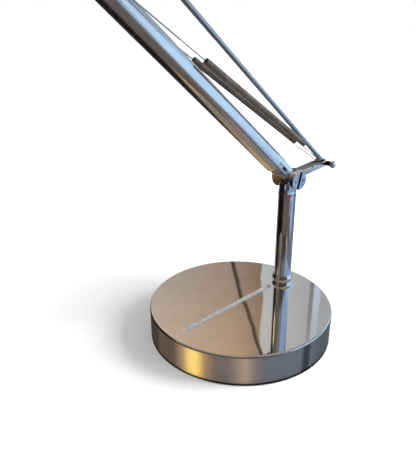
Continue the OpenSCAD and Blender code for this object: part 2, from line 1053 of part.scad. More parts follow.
function anchor_side(r) = r + link_side_gap;
function side_slope(pin_at, anchor_at, r) =
    (anchor_side(r) - spring_side) / norm(anchor_at - pin_at);

module spring(way, pin_at, anchor_at, r, start, run) {
    path = spring_path(way, start, run, side_slope(pin_at, anchor_at, r));
    spring_at(pin_at, anchor_at)
        wire_tube(path, wire_d);
}

// The wire links from the coils to the anchor pin, with a ring round the pin
module link_pair(pin_at, anchor_at, r, coil_end) {
    span = norm(anchor_at - pin_at);
    slope = side_slope(pin_at, anchor_at, r);
    run = span - coil_end + link_overlap;
    for (way = [-1, 1])
        spring_at(pin_at, anchor_at)
            translate([span, 0, way * anchor_side(r)]) {
                rotate_extrude()
                    translate([link_ring_r, 0])
                        circle(d = link_d, $fn = 24);
                rotate([0, -90 + way * atan(slope), 0])
                    translate([0, 0, link_ring_r])
                        cylinder(d = link_d, h = run - link_ring_r, $fn = 24);
            }
}

low_anchor_at = low_anchor * low_dir;
up_anchor_at = up_root + up_anchor * up_dir;
low_slope = side_slope(lever, low_anchor_at, low_r);
up_slope = side_slope(up_pin_at, up_anchor_at, up_r);
echo(lower_spring_self_gap = self_gap(spring_path(1, low_coil_start, low_coil_l, low_slope)));
echo(upper_spring_self_gap = self_gap(spring_path(1, up_coil_start, up_coil_l, up_slope)));

module lower_spring_near() {
    color("dimgray")
        spring(1, lever, low_anchor_at, low_r, low_coil_start, low_coil_l);
}

module lower_spring_far() {
    color("dimgray")
        spring(-1, lever, low_anchor_at, low_r, low_coil_start, low_coil_l);
}

module lower_links() {
    color("lightgray")
        link_pair(lever, low_anchor_at, low_r, low_coil_start + low_coil_l);
}

// Elbow

module elbow_outline() {
    difference() {
        union() {
            link_2d(low_tip, elbow_a_r, low_pin_at, elbow_b_r);
            link_2d(low_pin_at, elbow_b_r, up_pin_at, elbow_b_r);
            link_2d(up_pin_at, elbow_b_r, up_root, elbow_a_r);
            link_2d(up_root, elbow_a_r, low_tip, elbow_a_r);
            polygon([low_tip, low_pin_at, up_pin_at, up_root]);
        }
        for (p = [low_tip, up_root])
            translate(p)
                circle(d = axle_d + 2 * fit);
        for (p = [low_pin_at, up_pin_at])
            translate(p)
                circle(d = pin_d + 2 * fit);
    }
}

module elbow_plate_near() {
    color("silver")
        plane_at([0, 0])
            across(half_gap, plate_out)
                elbow_outline();
}

module elbow_plate_far() {
    color("silver")
        plane_at([0, 0])
            across(-plate_out, -half_gap)
                elbow_outline();
}

// Spacers on both sides of a rod's eye
module eye_spacers() {
    for (way = [-1, 1])
        difference() {
            cross_bar(spacer_d, way * (half_gap + rod_flat_t / 2 + fit) / 2
                - (half_gap - rod_flat_t / 2 - fit) / 2,
                way * (half_gap + rod_flat_t / 2 + fit) / 2
                + (half_gap - rod_flat_t / 2 - fit) / 2);
            cross_bar(pin_d + 2 * fit, -plate_out, plate_out);
        }
}

module elbow_spacers() {
    color("lightgray")
        plane_at(low_pin_at)
            eye_spacers();
}

module elbow_pins() {
    color("silver") {
        plane_at(low_tip)
            rivet(axle_d, big_head_d, head_h, plate_out);
        plane_at(low_pin_at)
            rivet(pin_d, small_head_d, head_h, plate_out);
        plane_at(up_pin_at)
            rivet(pin_d, small_head_d, head_h, plate_out);
    }
}

module elbow_washers() {
    color("ivory") {
        plane_at(low_tip)
            washer_pair();
        plane_at(up_root)
            washer_pair();
    }
}

module elbow_screw() {
    side = up_r + side_step;
    color("silver")
        plane_at(up_root)
            slotted_screw(small_disc_d, small_disc_t, side, 0, side + wheel_t + axle_end);
}

module elbow_wheel() {
    color("darkgoldenrod")
        plane_at(up_root)
            knurled_wheel(small_disc_d, up_r + side_step);
}

// Upper arm

module upper_tube() {
    color("silver")
        arm_at(up_root, -up_drop)
            difference() {
                arm_tube(up_r, up_bore_r, up_len, up_root_gap, up_tip_gap, up_slant, up_anchor,
                    up_tip_pin_back);
                translate([0, 0, up_tip_pin_back])
                    cross_bar(cross_pin_d + 2 * fit, -up_r - cut, up_r + cut);
            }
}

module upper_root_fitting() {
    color("gray")
        arm_at(up_root, -up_drop)
            root_fitting(up_bore_r, up_plug_start, up_tip_pin_back);
}

module upper_tip_fitting() {
    color("gray")
        arm_at(up_tip, half_turn - up_drop)
            root_fitting(up_bore_r, up_plug_start, up_tip_pin_back);
}

module upper_cross_pins() {
    color("dimgray")
        arm_at(up_root, -up_drop) {
            cross_pin(up_r, up_tip_pin_back);
            cross_pin(up_r, up_len - up_tip_pin_back);
        }
}

module upper_anchor_pin() {
    color("lightgray")
        plane_at(up_anchor_at)
            anchor_pin(up_r);
}

module upper_rod() {
    color("silver")
        arm_at(up_pin_at, -up_drop)
            parallel_rod(up_len);
}

module upper_spring_near() {
    color("dimgray")
        spring(1, up_pin_at, up_anchor_at, up_r, up_coil_start, up_coil_l);
}

module upper_spring_far() {
    color("dimgray")
        spring(-1, up_pin_at, up_anchor_at, up_r, up_coil_start, up_coil_l);
}

module upper_links() {
    color("lightgray")
        link_pair(up_pin_at, up_anchor_at, up_r, up_coil_start + up_coil_l);
}

// Head

head_pin_at = up_tip + up_lever;

module head_outline() {
    difference() {
        union() {
            link_2d(up_tip, elbow_a_r, head_pin_at, elbow_b_r);
            link_2d(head_pin_at, elbow_b_r, neck, neck_r);
            link_2d(neck, neck_r, up_tip, elbow_a_r);
            polygon([up_tip, head_pin_at, neck]);
        }
        translate(up_tip)
            circle(d = axle_d + 2 * fit);
        translate(head_pin_at)
            circle(d = pin_d + 2 * fit);
        for (way = [-1, 1])
            translate(neck + [way * (stud_r + rivet_d), 0])
                circle(d = rivet_d + 2 * fit);
    }
}

module head_plate_near() {
    color("silver")
        plane_at([0, 0])
            across(half_gap, plate_out)
                head_outline();
}

module head_plate_far() {
    color("silver")
        plane_at([0, 0])
            across(-plate_out, -half_gap)
                head_outline();
}

module head_block() {
    color("gray")
        plane_at(neck)
            difference() {
                across(-half_gap, half_gap)
                    circle(r = neck_r);
                translate([0, 0, -neck_r - cut])
                    cylinder(r = stud_r + fit, h = 2 * neck_r + 2 * cut);
                for (way = [-1, 1])
                    translate([way * (stud_r + rivet_d), 0, 0])
                        cross_bar(rivet_d + 2 * fit, -plate_out, plate_out);
            }
}

module head_pins() {
    color("silver") {
        plane_at(up_tip)
            rivet(axle_d, big_head_d, head_h, plate_out);
        plane_at(head_pin_at) {
            rivet(pin_d, small_head_d, head_h, plate_out);
            eye_spacers();
        }
        for (way = [-1, 1])
            plane_at(neck + [way * (stud_r + rivet_d), 0])
                cross_bar(rivet_d, -plate_out, plate_out);
    }
}

module head_washers() {
    color("ivory")
        plane_at(up_tip)
            washer_pair();
}

module tilt_yoke() {
    color("silver") {
        plane_at(neck) {
            translate([0, 0, -yoke_top - fit])
                cylinder(r = stud_r, h = yoke_top + neck_r + slip + stud_cap_h / 2);
            translate([0, 0, neck_r + slip])
                dome(2 * stud_cap_r, stud_cap_h);
            translate([0, 0, -tilt_drop + ear_r + slip])
                cylinder(r = yoke_r, h = tilt_drop - ear_r - slip - yoke_top);
        }
        plane_at(tilt_at)
            difference() {
                across(slip - half_gap, half_gap - slip) {
                    circle(r = tongue_r);
                    translate([-tongue_r, 0])
                        square([2 * tongue_r, ear_r + slip + cut]);
                }
                cross_bar(axle_d + 2 * fit, -tongue_w, tongue_w);
            }
    }
}

module tilt_screw() {
    side = plate_out + side_step;
    color("silver")
        plane_at(tilt_at)
            slotted_screw(small_disc_d, small_disc_t, side, 0, side + wheel_t + axle_end);
}

module tilt_wheel() {
    color("darkgoldenrod")
        plane_at(tilt_at)
            knurled_wheel(small_disc_d, plate_out + side_step);
}

module housing_cap() {
    color("silver")
        plane_at(tilt_at)
            difference() {
                union() {
                    translate([0, 0, housing_top])
                        cylinder(r = cap_r, h = cap_t);
                    for (side = [-plate_out, half_gap])
                        across(side, side + plate_t) {
                            circle(r = ear_r);
                            translate([-ear_r, -cap_drop - cap_t / 2])
                                square([2 * ear_r, cap_drop + cap_t / 2]);
                        }
                }
                cross_bar(axle_d + 2 * fit, -plate_out - cut, plate_out + cut);
                translate([-button_at, 0, housing_top - cut])
                    cylinder(d = button_d + 2 * slip, h = cap_t + 2 * cut);
            }
}

module housing() {
    color("silver")
        plane_at(tilt_at)
            difference() {
                translate([0, 0, shade_top])
                    cylinder(r = cap_r, h = housing_l);
                translate([0, 0, shade_top - cut])
                    cylinder(r = cap_r - housing_wall, h = housing_l + 2 * cut);
                for (i = [0 : vent_n - 1])
                    rotate([0, 0, (i + 0.5) * 360 / vent_n])
                        translate([cap_r - vent_d, 0, housing_top - vent_d * 2])
                            rotate([0, 90, 0])
                                cylinder(d = vent_d, h = vent_d + cut);
            }
}

// Half outline of the shade's bell, from its flat top to its rim
function bell(top_r, rim_r, depth) = [
    for (i = [0 : shade_steps])
        let (a = 90 * i / shade_steps)
            [top_r + (rim_r - top_r) * sin(a), -depth * (1 - cos(a))]
];

module shade() {
    color("silver")
        plane_at(tilt_at)
            translate([0, 0, shade_top])
                union() {
                    rotate_extrude()
                        difference() {
                            polygon(concat(
                                [[0, 0]],
                                bell(cap_r, shade_d / 2, shade_h),
                                [[shade_d / 2, -shade_h - skirt_h], [0, -shade_h - skirt_h]]
                            ));
                            polygon(concat(
                                [[0, -shade_wall]],
                                bell(cap_r, shade_d / 2 - shade_wall, shade_h - shade_wall)
                                    - [for (i = [0 : shade_steps]) [0, shade_wall]],
                                [[shade_d / 2 - shade_wall, -shade_h - skirt_h - cut],
                                    [0, -shade_h - skirt_h - cut]]
                            ));
                            translate([-cut, -shade_wall - cut])
                                square([socket_d / 2 + fit + cut, shade_wall + 2 * cut]);
                        }
                    translate([0, 0, -shade_h - skirt_h + bead_r])
                        rotate_extrude()
                            translate([shade_d / 2 - shade_wall / 2, 0])
                                circle(r = bead_r, $fn = 24);
                }
}

module socket() {
    color("ivory")
        plane_at(tilt_at)
            difference() {
                union() {
                    translate([0, 0, shade_top - socket_out])
                        cylinder(d = socket_d, h = housing_l + socket_out - socket_top_gap);
                    translate([0, 0, shade_top])
                        cylinder(d = socket_d + 2 * shoulder_over, h = shoulder_h);
                }
                translate([0, 0, shade_top - socket_out - cut])
                    cylinder(d = socket_bore_d, h = bulb_cap_l + cut + slip);
            }
}

module socket_ring() {
    color("ivory")
        plane_at(tilt_at)
            translate([0, 0, shade_top - shade_wall - ring_t])
                difference() {
                    cylinder(d = socket_d + 2 * ring_over, h = ring_t);
                    translate([0, 0, -cut])
                        cylinder(d = socket_d + 2 * fit, h = ring_t + 2 * cut);
                }
}

module bulb_cap() {
    color("silver")
        plane_at(tilt_at)
            translate([0, 0, shade_top - socket_out])
                difference() {
                    cylinder(d = bulb_cap_d, h = bulb_cap_l);
                    translate([0, 0, -cut])
                        cylinder(d = bulb_cap_d - 2 * glass_t, h = bulb_cap_l - glass_t + cut);
                }
}

module bulb_outline(wall) {
    globe_drop = bulb_l - bulb_d / 2;
    difference() {
        union() {
            link_2d([0, -bulb_neck_l], bulb_cap_d / 2 - wall, [0, -globe_drop], bulb_d / 2 - wall);
            translate([0, -bulb_neck_l])
                square([bulb_cap_d / 2 - wall, bulb_neck_l]);
        }
        translate([-bulb_d, -2 * bulb_l])
            square([bulb_d, 4 * bulb_l]);
        translate([-bulb_d, -wall])
            square([2 * bulb_d, bulb_d]);
    }
}

module bulb_glass() {
    color("white")
        plane_at(tilt_at)
            translate([0, 0, shade_top - socket_out])
                rotate_extrude()
                    difference() {
                        bulb_outline(0);
                        bulb_outline(glass_t);
                    }
}

module switch_bush() {
    color("black")
        plane_at(tilt_at)
            translate([-button_at, 0, -cap_drop])
                difference() {
                    cylinder(d = bush_d, h = bush_h);
                    translate([0, 0, -cut])
                        cylinder(d = button_d + 2 * fit, h = bush_h + 2 * cut);
                }
}

module switch_button() {
    color("black")
        plane_at(tilt_at)
            translate([-button_at, 0, -cap_drop - cap_t / 2]) {
                cylinder(d = button_d, h = button_l - button_d / 4);
                translate([0, 0, button_l - button_d / 4])
                    dome(button_d, button_d / 4);
            }
}

base_cover();
base_weight();
base_pad();
base_nut();
cord_inlet_bush();
post_stud();
post_tube();
post_collar();
swivel_bush();
swivel_head();
lever_plate_near();
lever_plate_far();
lever_rivets();
pivot_screw();
pivot_washers();
pivot_wheel();
lever_pin();
lever_pin_cap();
lower_tube();
lower_root_fitting();
lower_tip_fitting();
lower_cross_pins();
lower_anchor_pin();
lower_rod();
lower_spring_near();
lower_spring_far();
lower_links();
elbow_plate_near();
elbow_plate_far();
elbow_spacers();
elbow_pins();
elbow_washers();
elbow_screw();
elbow_wheel();
upper_tube();
upper_root_fitting();
upper_tip_fitting();
upper_cross_pins();
upper_anchor_pin();
upper_rod();
upper_spring_near();
upper_spring_far();
upper_links();
head_plate_near();
head_plate_far();
head_block();
head_pins();
head_washers();
tilt_yoke();
tilt_screw();
tilt_wheel();
housing_cap();
housing();
shade();
socket();
socket_ring();
bulb_cap();
bulb_glass();
switch_bush();
switch_button();
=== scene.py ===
import json
import math

import bmesh
import bpy
from mathutils import Matrix, Vector


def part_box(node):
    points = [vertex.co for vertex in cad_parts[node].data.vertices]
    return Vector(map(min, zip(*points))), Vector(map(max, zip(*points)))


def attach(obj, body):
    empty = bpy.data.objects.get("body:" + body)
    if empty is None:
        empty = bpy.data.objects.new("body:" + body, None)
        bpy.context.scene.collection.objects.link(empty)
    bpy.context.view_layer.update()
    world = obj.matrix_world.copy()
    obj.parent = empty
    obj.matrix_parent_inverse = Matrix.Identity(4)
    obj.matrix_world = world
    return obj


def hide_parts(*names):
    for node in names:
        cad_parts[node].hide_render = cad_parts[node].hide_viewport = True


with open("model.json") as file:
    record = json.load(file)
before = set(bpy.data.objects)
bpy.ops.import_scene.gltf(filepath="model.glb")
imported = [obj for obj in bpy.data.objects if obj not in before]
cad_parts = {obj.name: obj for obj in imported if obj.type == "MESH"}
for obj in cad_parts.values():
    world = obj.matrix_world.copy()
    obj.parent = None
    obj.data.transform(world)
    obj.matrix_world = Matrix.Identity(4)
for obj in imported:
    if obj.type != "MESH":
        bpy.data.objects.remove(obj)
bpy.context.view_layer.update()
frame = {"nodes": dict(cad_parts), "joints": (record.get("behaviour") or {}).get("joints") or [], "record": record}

NODES = frame["nodes"]
RECORD = frame["record"]
PLACE = {j["name"]: Vector(j["pos_m"]) for j in frame["joints"] if "pos_m" in j}
BODY_OF = {n: b for b, ns in RECORD["behaviour"]["bodies"].items() for n in ns}
SLOT_OF = {p["node"]: p["material_slot"] for p in RECORD["subparts"]}

PIVOT = PLACE["lower_arm_lift"]
LEVER = PLACE["lower_rod_swing"]
LOW_ANCHOR = PLACE["lower_link_swing"]
LOW_TIP = PLACE["elbow_level"]
UP_ROOT = PLACE["upper_arm_lift"]
UP_LEVER = PLACE["upper_rod_swing"]
UP_ANCHOR = PLACE["upper_link_swing"]
UP_TIP = PLACE["head_level"]
SIDE = Vector((0, -1, 0))
UP = Vector((0, 0, 1))

# Camera: found from the base's outline and the post in the photograph

# The picture's height and the focal length, both in its pixels
PICTURE_HIGH = 474
FOCAL = 500
SENSOR = 36
CAM_PLACE = Vector((-0.30506, -0.37409, 0.32752))
CAM_LOOK = Vector((0.52398, 0.74861, -0.40622))
CAM_LEVEL = Vector((0.81926, -0.57342, 0))
ROLL = -0.00534

scene = bpy.context.scene
cam_data = bpy.data.cameras.new("camera")
cam = bpy.data.objects.new("camera", cam_data)
scene.collection.objects.link(cam)
forward = CAM_LOOK.normalized()
level_right = CAM_LEVEL.normalized()
level_up = level_right.cross(forward)
cam_right = level_right * math.cos(ROLL) + level_up * math.sin(ROLL)
cam_up = level_up * math.cos(ROLL) - level_right * math.sin(ROLL)
turn = Matrix((cam_right, cam_up, -forward)).transposed()
cam.matrix_world = Matrix.Translation(CAM_PLACE) @ turn.to_4x4()
cam_data.sensor_width = SENSOR
cam_data.lens = FOCAL / PICTURE_HIGH * SENSOR
cam_data.clip_start = 0.01
cam_data.clip_end = 50
scene.camera = cam
scene.view_settings.view_transform = "Standard"

# Materials


class Nodes:
    """A short way to write a material's node tree. A value may name a setting or a socket."""

    def __init__(self, name):
        self.mat = bpy.data.materials.new(name)
        self.mat.use_nodes = True
        self.tree = self.mat.node_tree
        self.tree.nodes.clear()
        self.out = self.add("ShaderNodeOutputMaterial")

    def add(self, kind, **values):
        node = self.tree.nodes.new(kind)
        for key, value in values.items():
            if hasattr(node, key):
                setattr(node, key, value)
            else:
                node.inputs[key.replace("_", " ")].default_value = value
        return node

    def link(self, a, b):
        self.tree.links.new(a, b)

    def coords(self, scale=(1, 1, 1), turn=(0, 0, 0)):
        tex = self.add("ShaderNodeTexCoord")
        place = self.add("ShaderNodeMapping")
        place.inputs["Scale"].default_value = scale
        place.inputs["Rotation"].default_value = turn
        self.link(tex.outputs["Object"], place.inputs["Vector"])
        return place.outputs["Vector"]

    def noise(self, vector, scale, detail, rough):
        node = self.add("ShaderNodeTexNoise")
        node.inputs["Scale"].default_value = scale
        node.inputs["Detail"].default_value = detail
        node.inputs["Roughness"].default_value = rough
        self.link(vector, node.inputs["Vector"])
        return node.outputs["Fac"]

    def spread(self, value, low, high, start=0.0, end=1.0):
        node = self.add("ShaderNodeMapRange")
        node.inputs["From Min"].default_value = start
        node.inputs["From Max"].default_value = end
        node.inputs["To Min"].default_value = low
        node.inputs["To Max"].default_value = high
        self.link(value, node.inputs["Value"])
        return node.outputs["Result"]

    def tint(self, value, dark, light):
        node = self.add("ShaderNodeValToRGB")
        for stop, position, color in zip(node.color_ramp.elements, (0.3, 0.7), (dark, light)):
            stop.position = position
            stop.color = (*color, 1)
        self.link(value, node.inputs["Fac"])
        return node.outputs["Color"]

    def bump(self, height, strength, distance, before=None):
        node = self.add("ShaderNodeBump")
        node.inputs["Strength"].default_value = strength
        node.inputs["Distance"].default_value = distance
        self.link(height, node.inputs["Height"])
        if before is not None:
            self.link(before, node.inputs["Normal"])
        return node.outputs["Normal"]

    def surface(self, color, rough, normal, **values):
        node = self.add("ShaderNodeBsdfPrincipled", **values)
        self.link(color, node.inputs["Base Color"])
        self.link(rough, node.inputs["Roughness"])
        self.link(normal, node.inputs["Normal"])
        self.link(node.outputs["BSDF"], self.out.inputs["Surface"])
        return self.mat


# How fine each pattern in a bright finish is, and how deep a pattern goes in each kind of finish
HAZE, STREAK, SPECK, WAVE = 45, 400, 900, 60
WAVE_DEPTH = 0.001
LINE_DEPTH = 0.0004
METAL_DEPTH = 0.0006
PLAIN_DEPTH = 0.0005


def chrome(name, tones, rough, grain=(1, 1, 1), turn=(0, 0, 0), lines=0.0, wave=0.03, metal=1.0):
    """Bright plated metal with a faint haze, specks and, where it was drawn, fine lines."""
    m = Nodes(name)
    soft = m.coords()
    streak = m.coords(grain, turn)
    haze = m.noise(soft, HAZE, detail=4, rough=0.6)
    line = m.noise(streak, STREAK, detail=5, rough=0.7)
    color = m.tint(haze, *tones)
    speck = m.noise(soft, SPECK, detail=2, rough=0.5)
    blend = m.add("ShaderNodeMath", operation="ADD")
    m.link(m.spread(haze, 0, rough * 0.6), blend.inputs[0])
    m.link(m.spread(speck, rough * 0.4, rough * 0.9), blend.inputs[1])
    normal = m.bump(m.noise(soft, WAVE, detail=2, rough=0.4), wave, WAVE_DEPTH)
    if lines:
        normal = m.bump(line, lines, LINE_DEPTH, normal)
    return m.surface(color, blend.outputs[0], normal, Metallic=metal)


def dull_metal(name, dark, light, low, high, scale=300, depth=0.2, metal=1.0):
    """Grainy metal whose roughness runs from low to high."""
    m = Nodes(name)
    at = m.coords()
    grain = m.noise(at, scale, detail=6, rough=0.65)
    patch = m.noise(at, scale / 8, detail=3, rough=0.5)
    normal = m.bump(grain, depth, METAL_DEPTH)
    return m.surface(m.tint(patch, dark, light), m.spread(grain, low, high), normal,
                     Metallic=metal)


def plain(name, dark, light, low, high, scale=250, depth=0.1, **values):
    """Plastic, rubber, enamel or glass whose roughness runs from low to high."""
    m = Nodes(name)
    at = m.coords()
    grain = m.noise(at, scale, detail=5, rough=0.6)
    normal = m.bump(grain, depth, PLAIN_DEPTH)
    return m.surface(m.tint(grain, dark, light), m.spread(grain, low, high), normal, **values)


# The arms' lean, for the lines that run along their tubes
low_turn = math.atan2((LOW_TIP - PIVOT).z, -(LOW_TIP - PIVOT).x)
up_turn = math.atan2((UP_TIP - UP_ROOT).z, -(UP_TIP - UP_ROOT).x)
LONG = (0.02, 1.0, 1.0)
CHROME_TONES = ((0.72, 0.73, 0.75), (0.84, 0.85, 0.87))
ALUMINIUM_TONES = ((0.7, 0.71, 0.72), (0.82, 0.82, 0.83))

MATS = {
    "chrome": chrome("chrome", CHROME_TONES, 0.06),
    "steel": dull_metal("turned_steel", (0.4, 0.4, 0.41), (0.62, 0.62, 0.63), 0.22, 0.4,
                        scale=500, depth=0.1),
    "cast_iron": dull_metal("cast_iron", (0.06, 0.06, 0.065), (0.14, 0.14, 0.145), 0.6, 0.85),
    "pad": plain("pad_rubber", (0.01, 0.01, 0.01), (0.03, 0.03, 0.03), 0.75, 0.95),
    "brass": dull_metal("aged_brass", (0.26, 0.16, 0.06), (0.95, 0.68, 0.32), 0.18, 0.38,
                        scale=900, depth=0.3, metal=0.62),
    "black_steel": dull_metal("black_steel", (0.015, 0.015, 0.015), (0.04, 0.04, 0.042), 0.3, 0.5),
    "spring_steel": dull_metal("spring_steel", (0.2, 0.172, 0.15), (0.4, 0.35, 0.31),
                               0.28, 0.42, metal=0.68),
    "casting": dull_metal("grey_casting", (0.17, 0.168, 0.16), (0.34, 0.335, 0.32), 0.42, 0.68,
                          scale=420, depth=0.45, metal=0.5),
    "polished_aluminium": chrome("polished_aluminium", ALUMINIUM_TONES, 0.16, lines=0.05),
    "white_plastic": plain("nylon", (0.62, 0.6, 0.55), (0.75, 0.73, 0.68), 0.4, 0.6),
    "black_plastic": plain("black_plastic", (0.012, 0.012, 0.013), (0.03, 0.03, 0.032),
                           0.35, 0.5),
    "porcelain": plain("porcelain", (0.7, 0.68, 0.63), (0.82, 0.8, 0.76), 0.12, 0.22,
                       scale=40, depth=0.02),
    "glass": plain("frosted_glass", (0.9, 0.9, 0.87), (0.96, 0.96, 0.94), 0.35, 0.5,
                   scale=60, depth=0.02, Transmission_Weight=0.75, IOR=1.45),
}
CHROME_LOW = chrome("drawn_tube_low", CHROME_TONES, 0.13, LONG, (0, -low_turn, 0),
                    lines=0.3, wave=0.05, metal=0.985)
CHROME_UP = chrome("drawn_tube_up", CHROME_TONES, 0.13, LONG, (0, -up_turn, 0),
                   lines=0.3, wave=0.05, metal=0.985)
CHROME_BASE = chrome("base_chrome", ((0.76, 0.76, 0.765), (0.84, 0.84, 0.85)), 0.035, wave=0.015)
SATIN = plain("satin_groove", (0.3, 0.3, 0.295), (0.42, 0.415, 0.405), 0.5, 0.65,
              scale=200, depth=0.05)
DARK_ROD = chrome("dark_rod", ((0.4, 0.41, 0.43), (0.5, 0.51, 0.54)), 0.1)
# The far lever plate: a darker, duller, browner copy of the near plate's chrome, which paints the shade it lies in
FAR_PLATE_SHADED = dull_metal("far_plate_painted_shade", (0.3, 0.24, 0.2), (0.42, 0.34, 0.29), 0.3, 0.45, metal=0.8)

# Shapes

# Edges sharper than this, in degrees, stay sharp
SMOOTH = 35.0
NODE_SMOOTH = 40.0
SHADE_SMOOTH = 50
WIRE_SMOOTH = 60
# Points nearer to each other than this are one point: in made shapes, and in the nodes' shapes
TINY = 1e-7
SAME_PLACE = 2e-6
# Faces that differ by less than this, in degrees, are one face, and by more than this an edge
FLAT = 0.6
EDGE_FROM = 30


def finish_mesh(name, bm, body, slot, material, smooth=SMOOTH):
    """Makes an object of a mesh. Edges sharper than smooth, in degrees, stay sharp."""
    mesh = bpy.data.meshes.new(name)
    bmesh.ops.recalc_face_normals(bm, faces=bm.faces)
    bm.to_mesh(mesh)
    bm.free()
    mesh.polygons.foreach_set("use_smooth", [True] * len(mesh.polygons))
    mesh.set_sharp_from_angle(angle=math.radians(smooth))
    obj = bpy.data.objects.new(name, mesh)
    scene.collection.objects.link(obj)
    mesh.materials.append(material)
    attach(obj, body)
    return obj


def rounded(points, radius, steps=4):
    """A profile with its inner corners rounded. Points may carry a radius of their own."""
    out = [Vector(points[0][:2])]
    for i in range(1, len(points) - 1):
        a, b, c = (Vector(p[:2]) for p in points[i - 1:i + 2])
        r = points[i][2] if len(points[i]) > 2 else radius
        u, v = (a - b), (c - b)
        angle = u.angle(v)
        reach = min(r / math.tan(angle / 2), u.length * 0.49, v.length * 0.49)
        if reach < TINY or r == 0:
            out.append(b)
            continue
        p, q = b + u.normalized() * reach, b + v.normalized() * reach
        for k in range(steps + 1):
            t = k / steps
            w = (1 - t) * (1 - t) * p + 2 * t * (1 - t) * b + t * t * q
            out.append(w)
    out.append(Vector(points[-1][:2]))
    return out


def axes(axis):
    """Two directions square to an axis, and the axis itself."""
    axis = axis.normalized()
    first = Vector((1, 0, 0)) if abs(axis.x) < 0.9 else Vector((0, 1, 0))
    first = (first - axis * first.dot(axis)).normalized()
    return first, axis.cross(first), axis


def lathe_bm(profile, at, axis, count):
    """Turns a profile of (radius, height) round an axis. Radius 0 closes it to a point."""
    x, y, z = axes(axis)
    bm = bmesh.new()
    rings = []
    for r, h in profile:
        if r < 1e-9:
            rings.append([bm.verts.new(at + z * h)])
            continue
        rings.append([
            bm.verts.new(at + z * h + (x * math.cos(a) + y * math.sin(a)) * r)
            for a in (2 * math.pi * k / count for k in range(count))
        ])
    for a, b in zip(rings, rings[1:]):
        for k in range(count):
            n = (k + 1) % count
            ids = [a[k % len(a)], a[n % len(a)], b[n % len(b)], b[k % len(b)]]
            unique = []
            for v in ids:
                if v not in unique:
                    unique.append(v)
            if len(unique) > 2:
                bm.faces.new(unique)
    return bm


def lathe(name, profile, at, axis, body, slot, material, count, radius=0.0002):
    bm = lathe_bm(rounded(profile, radius), at, axis, count)
    bmesh.ops.remove_doubles(bm, verts=bm.verts, dist=TINY)
    return finish_mesh(name, bm, body, slot, material)


def wire_bm(path, radius, sides):
    """A round wire along a path, with frames carried along it and closed ends.

    The radius is one size, or one size at each point.
    """
    bm = bmesh.new()
    sizes = radius if isinstance(radius, list) else [radius] * len(path)
    count = len(path)
    normal = None
    rings = []
    for i, p in enumerate(path):
        t = (path[min(i + 1, count - 1)] - path[max(i - 1, 0)]).normalized()
        if normal is None:
            normal = t.orthogonal().normalized()
        normal = (normal - t * normal.dot(t)).normalized()
        other = t.cross(normal)
        rings.append([
            bm.verts.new(p + (normal * math.cos(a) + other * math.sin(a)) * sizes[i])
            for a in (2 * math.pi * k / sides for k in range(sides))
        ])
    for a, b in zip(rings, rings[1:]):
        for k in range(sides):
            n = (k + 1) % sides
            bm.faces.new((a[k], a[n], b[n], b[k]))
    bm.faces.new(rings[0])
    bm.faces.new(rings[-1])
    return bm


def wire(name, path, radius, body, slot, material, sides):
    return finish_mesh(name, wire_bm(path, radius, sides), body, slot, material, WIRE_SMOOTH)


def applied(obj):
    """Puts an object's modifiers into its mesh."""
    graph = bpy.context.evaluated_depsgraph_get()
    graph.update()
    mesh = bpy.data.meshes.new_from_object(obj.evaluated_get(graph))
    old = obj.data
    obj.modifiers.clear()
    obj.data = mesh
    bpy.data.meshes.remove(old)


def cut_with(obj, bms):
    """Cuts closed meshes out of an object."""
    tools = []
    for i, bm in enumerate(bms):
        mesh = bpy.data.meshes.new("cut")
        bm.normal_update()
        bmesh.ops.recalc_face_normals(bm, faces=bm.faces)
        if bm.calc_volume(signed=True) < 0:
            bmesh.ops.reverse_faces(bm, faces=bm.faces)
        bm.to_mesh(mesh)
        bm.free()
        tool = bpy.data.objects.new("cut_%d" % i, mesh)
        scene.collection.objects.link(tool)
        mod = obj.modifiers.new("cut_%d" % i, "BOOLEAN")
        mod.operation = "DIFFERENCE"
        mod.solver = "EXACT"
        mod.object = tool
        tools.append(tool)
    bpy.context.view_layer.update()
    applied(obj)
    for tool in tools:
        mesh = tool.data
        bpy.data.objects.remove(tool)
        bpy.data.meshes.remove(mesh)


def soften(obj, width, smooth=SMOOTH, segments=3):
    """Rounds an object's sharp edges for the glint that real ones have."""
    bevel = obj.modifiers.new("edges", "BEVEL")
    bevel.width = width
    bevel.segments = segments
    bevel.limit_method = "ANGLE"
    bevel.angle_limit = math.radians(EDGE_FROM)
    bevel.use_clamp_overlap = True
    bevel.harden_normals = False
    even = obj.modifiers.new("even", "WEIGHTED_NORMAL")
    even.keep_sharp = True
    obj.data.polygons.foreach_set("use_smooth", [True] * len(obj.data.polygons))
    obj.data.set_sharp_from_angle(angle=math.radians(smooth))
    applied(obj)


def dressed(node, width, material=None):
    """A finished piece from a node's own shape, with rounded edges, in place of the node."""
    bm = bmesh.new()
    bm.from_mesh(NODES[node].data)
    bmesh.ops.remove_doubles(bm, verts=bm.verts, dist=SAME_PLACE)
    bmesh.ops.dissolve_limit(bm, angle_limit=math.radians(FLAT), verts=bm.verts, edges=bm.edges)
    slot = SLOT_OF[node]
    obj = finish_mesh(node + "_finished", bm, BODY_OF[node], slot, material or MATS[slot])
    soften(obj, width, smooth=NODE_SMOOTH, segments=2)
    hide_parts(node)
    return obj


def box_bm(low, high, matrix):
    """A box between two corners, in the frame of a matrix."""
    bm = bmesh.new()
    bmesh.ops.create_cube(bm, size=1.0)
    size = Vector(high) - Vector(low)
    middle = (Vector(high) + Vector(low)) / 2
    bm.transform(matrix @ Matrix.Translation(middle) @ Matrix.Diagonal((*size, 1)))
    return bm


# Every node gets its slot's material, and the ones below are then finished one by one
for name, node in NODES.items():
    node.data.materials.clear()
    node.data.materials.append(MATS[SLOT_OF[name]])
    node.data.polygons.foreach_set("use_smooth", [True] * len(node.data.polygons))
    node.data.set_sharp_from_angle(angle=math.radians(SMOOTH))

# Base

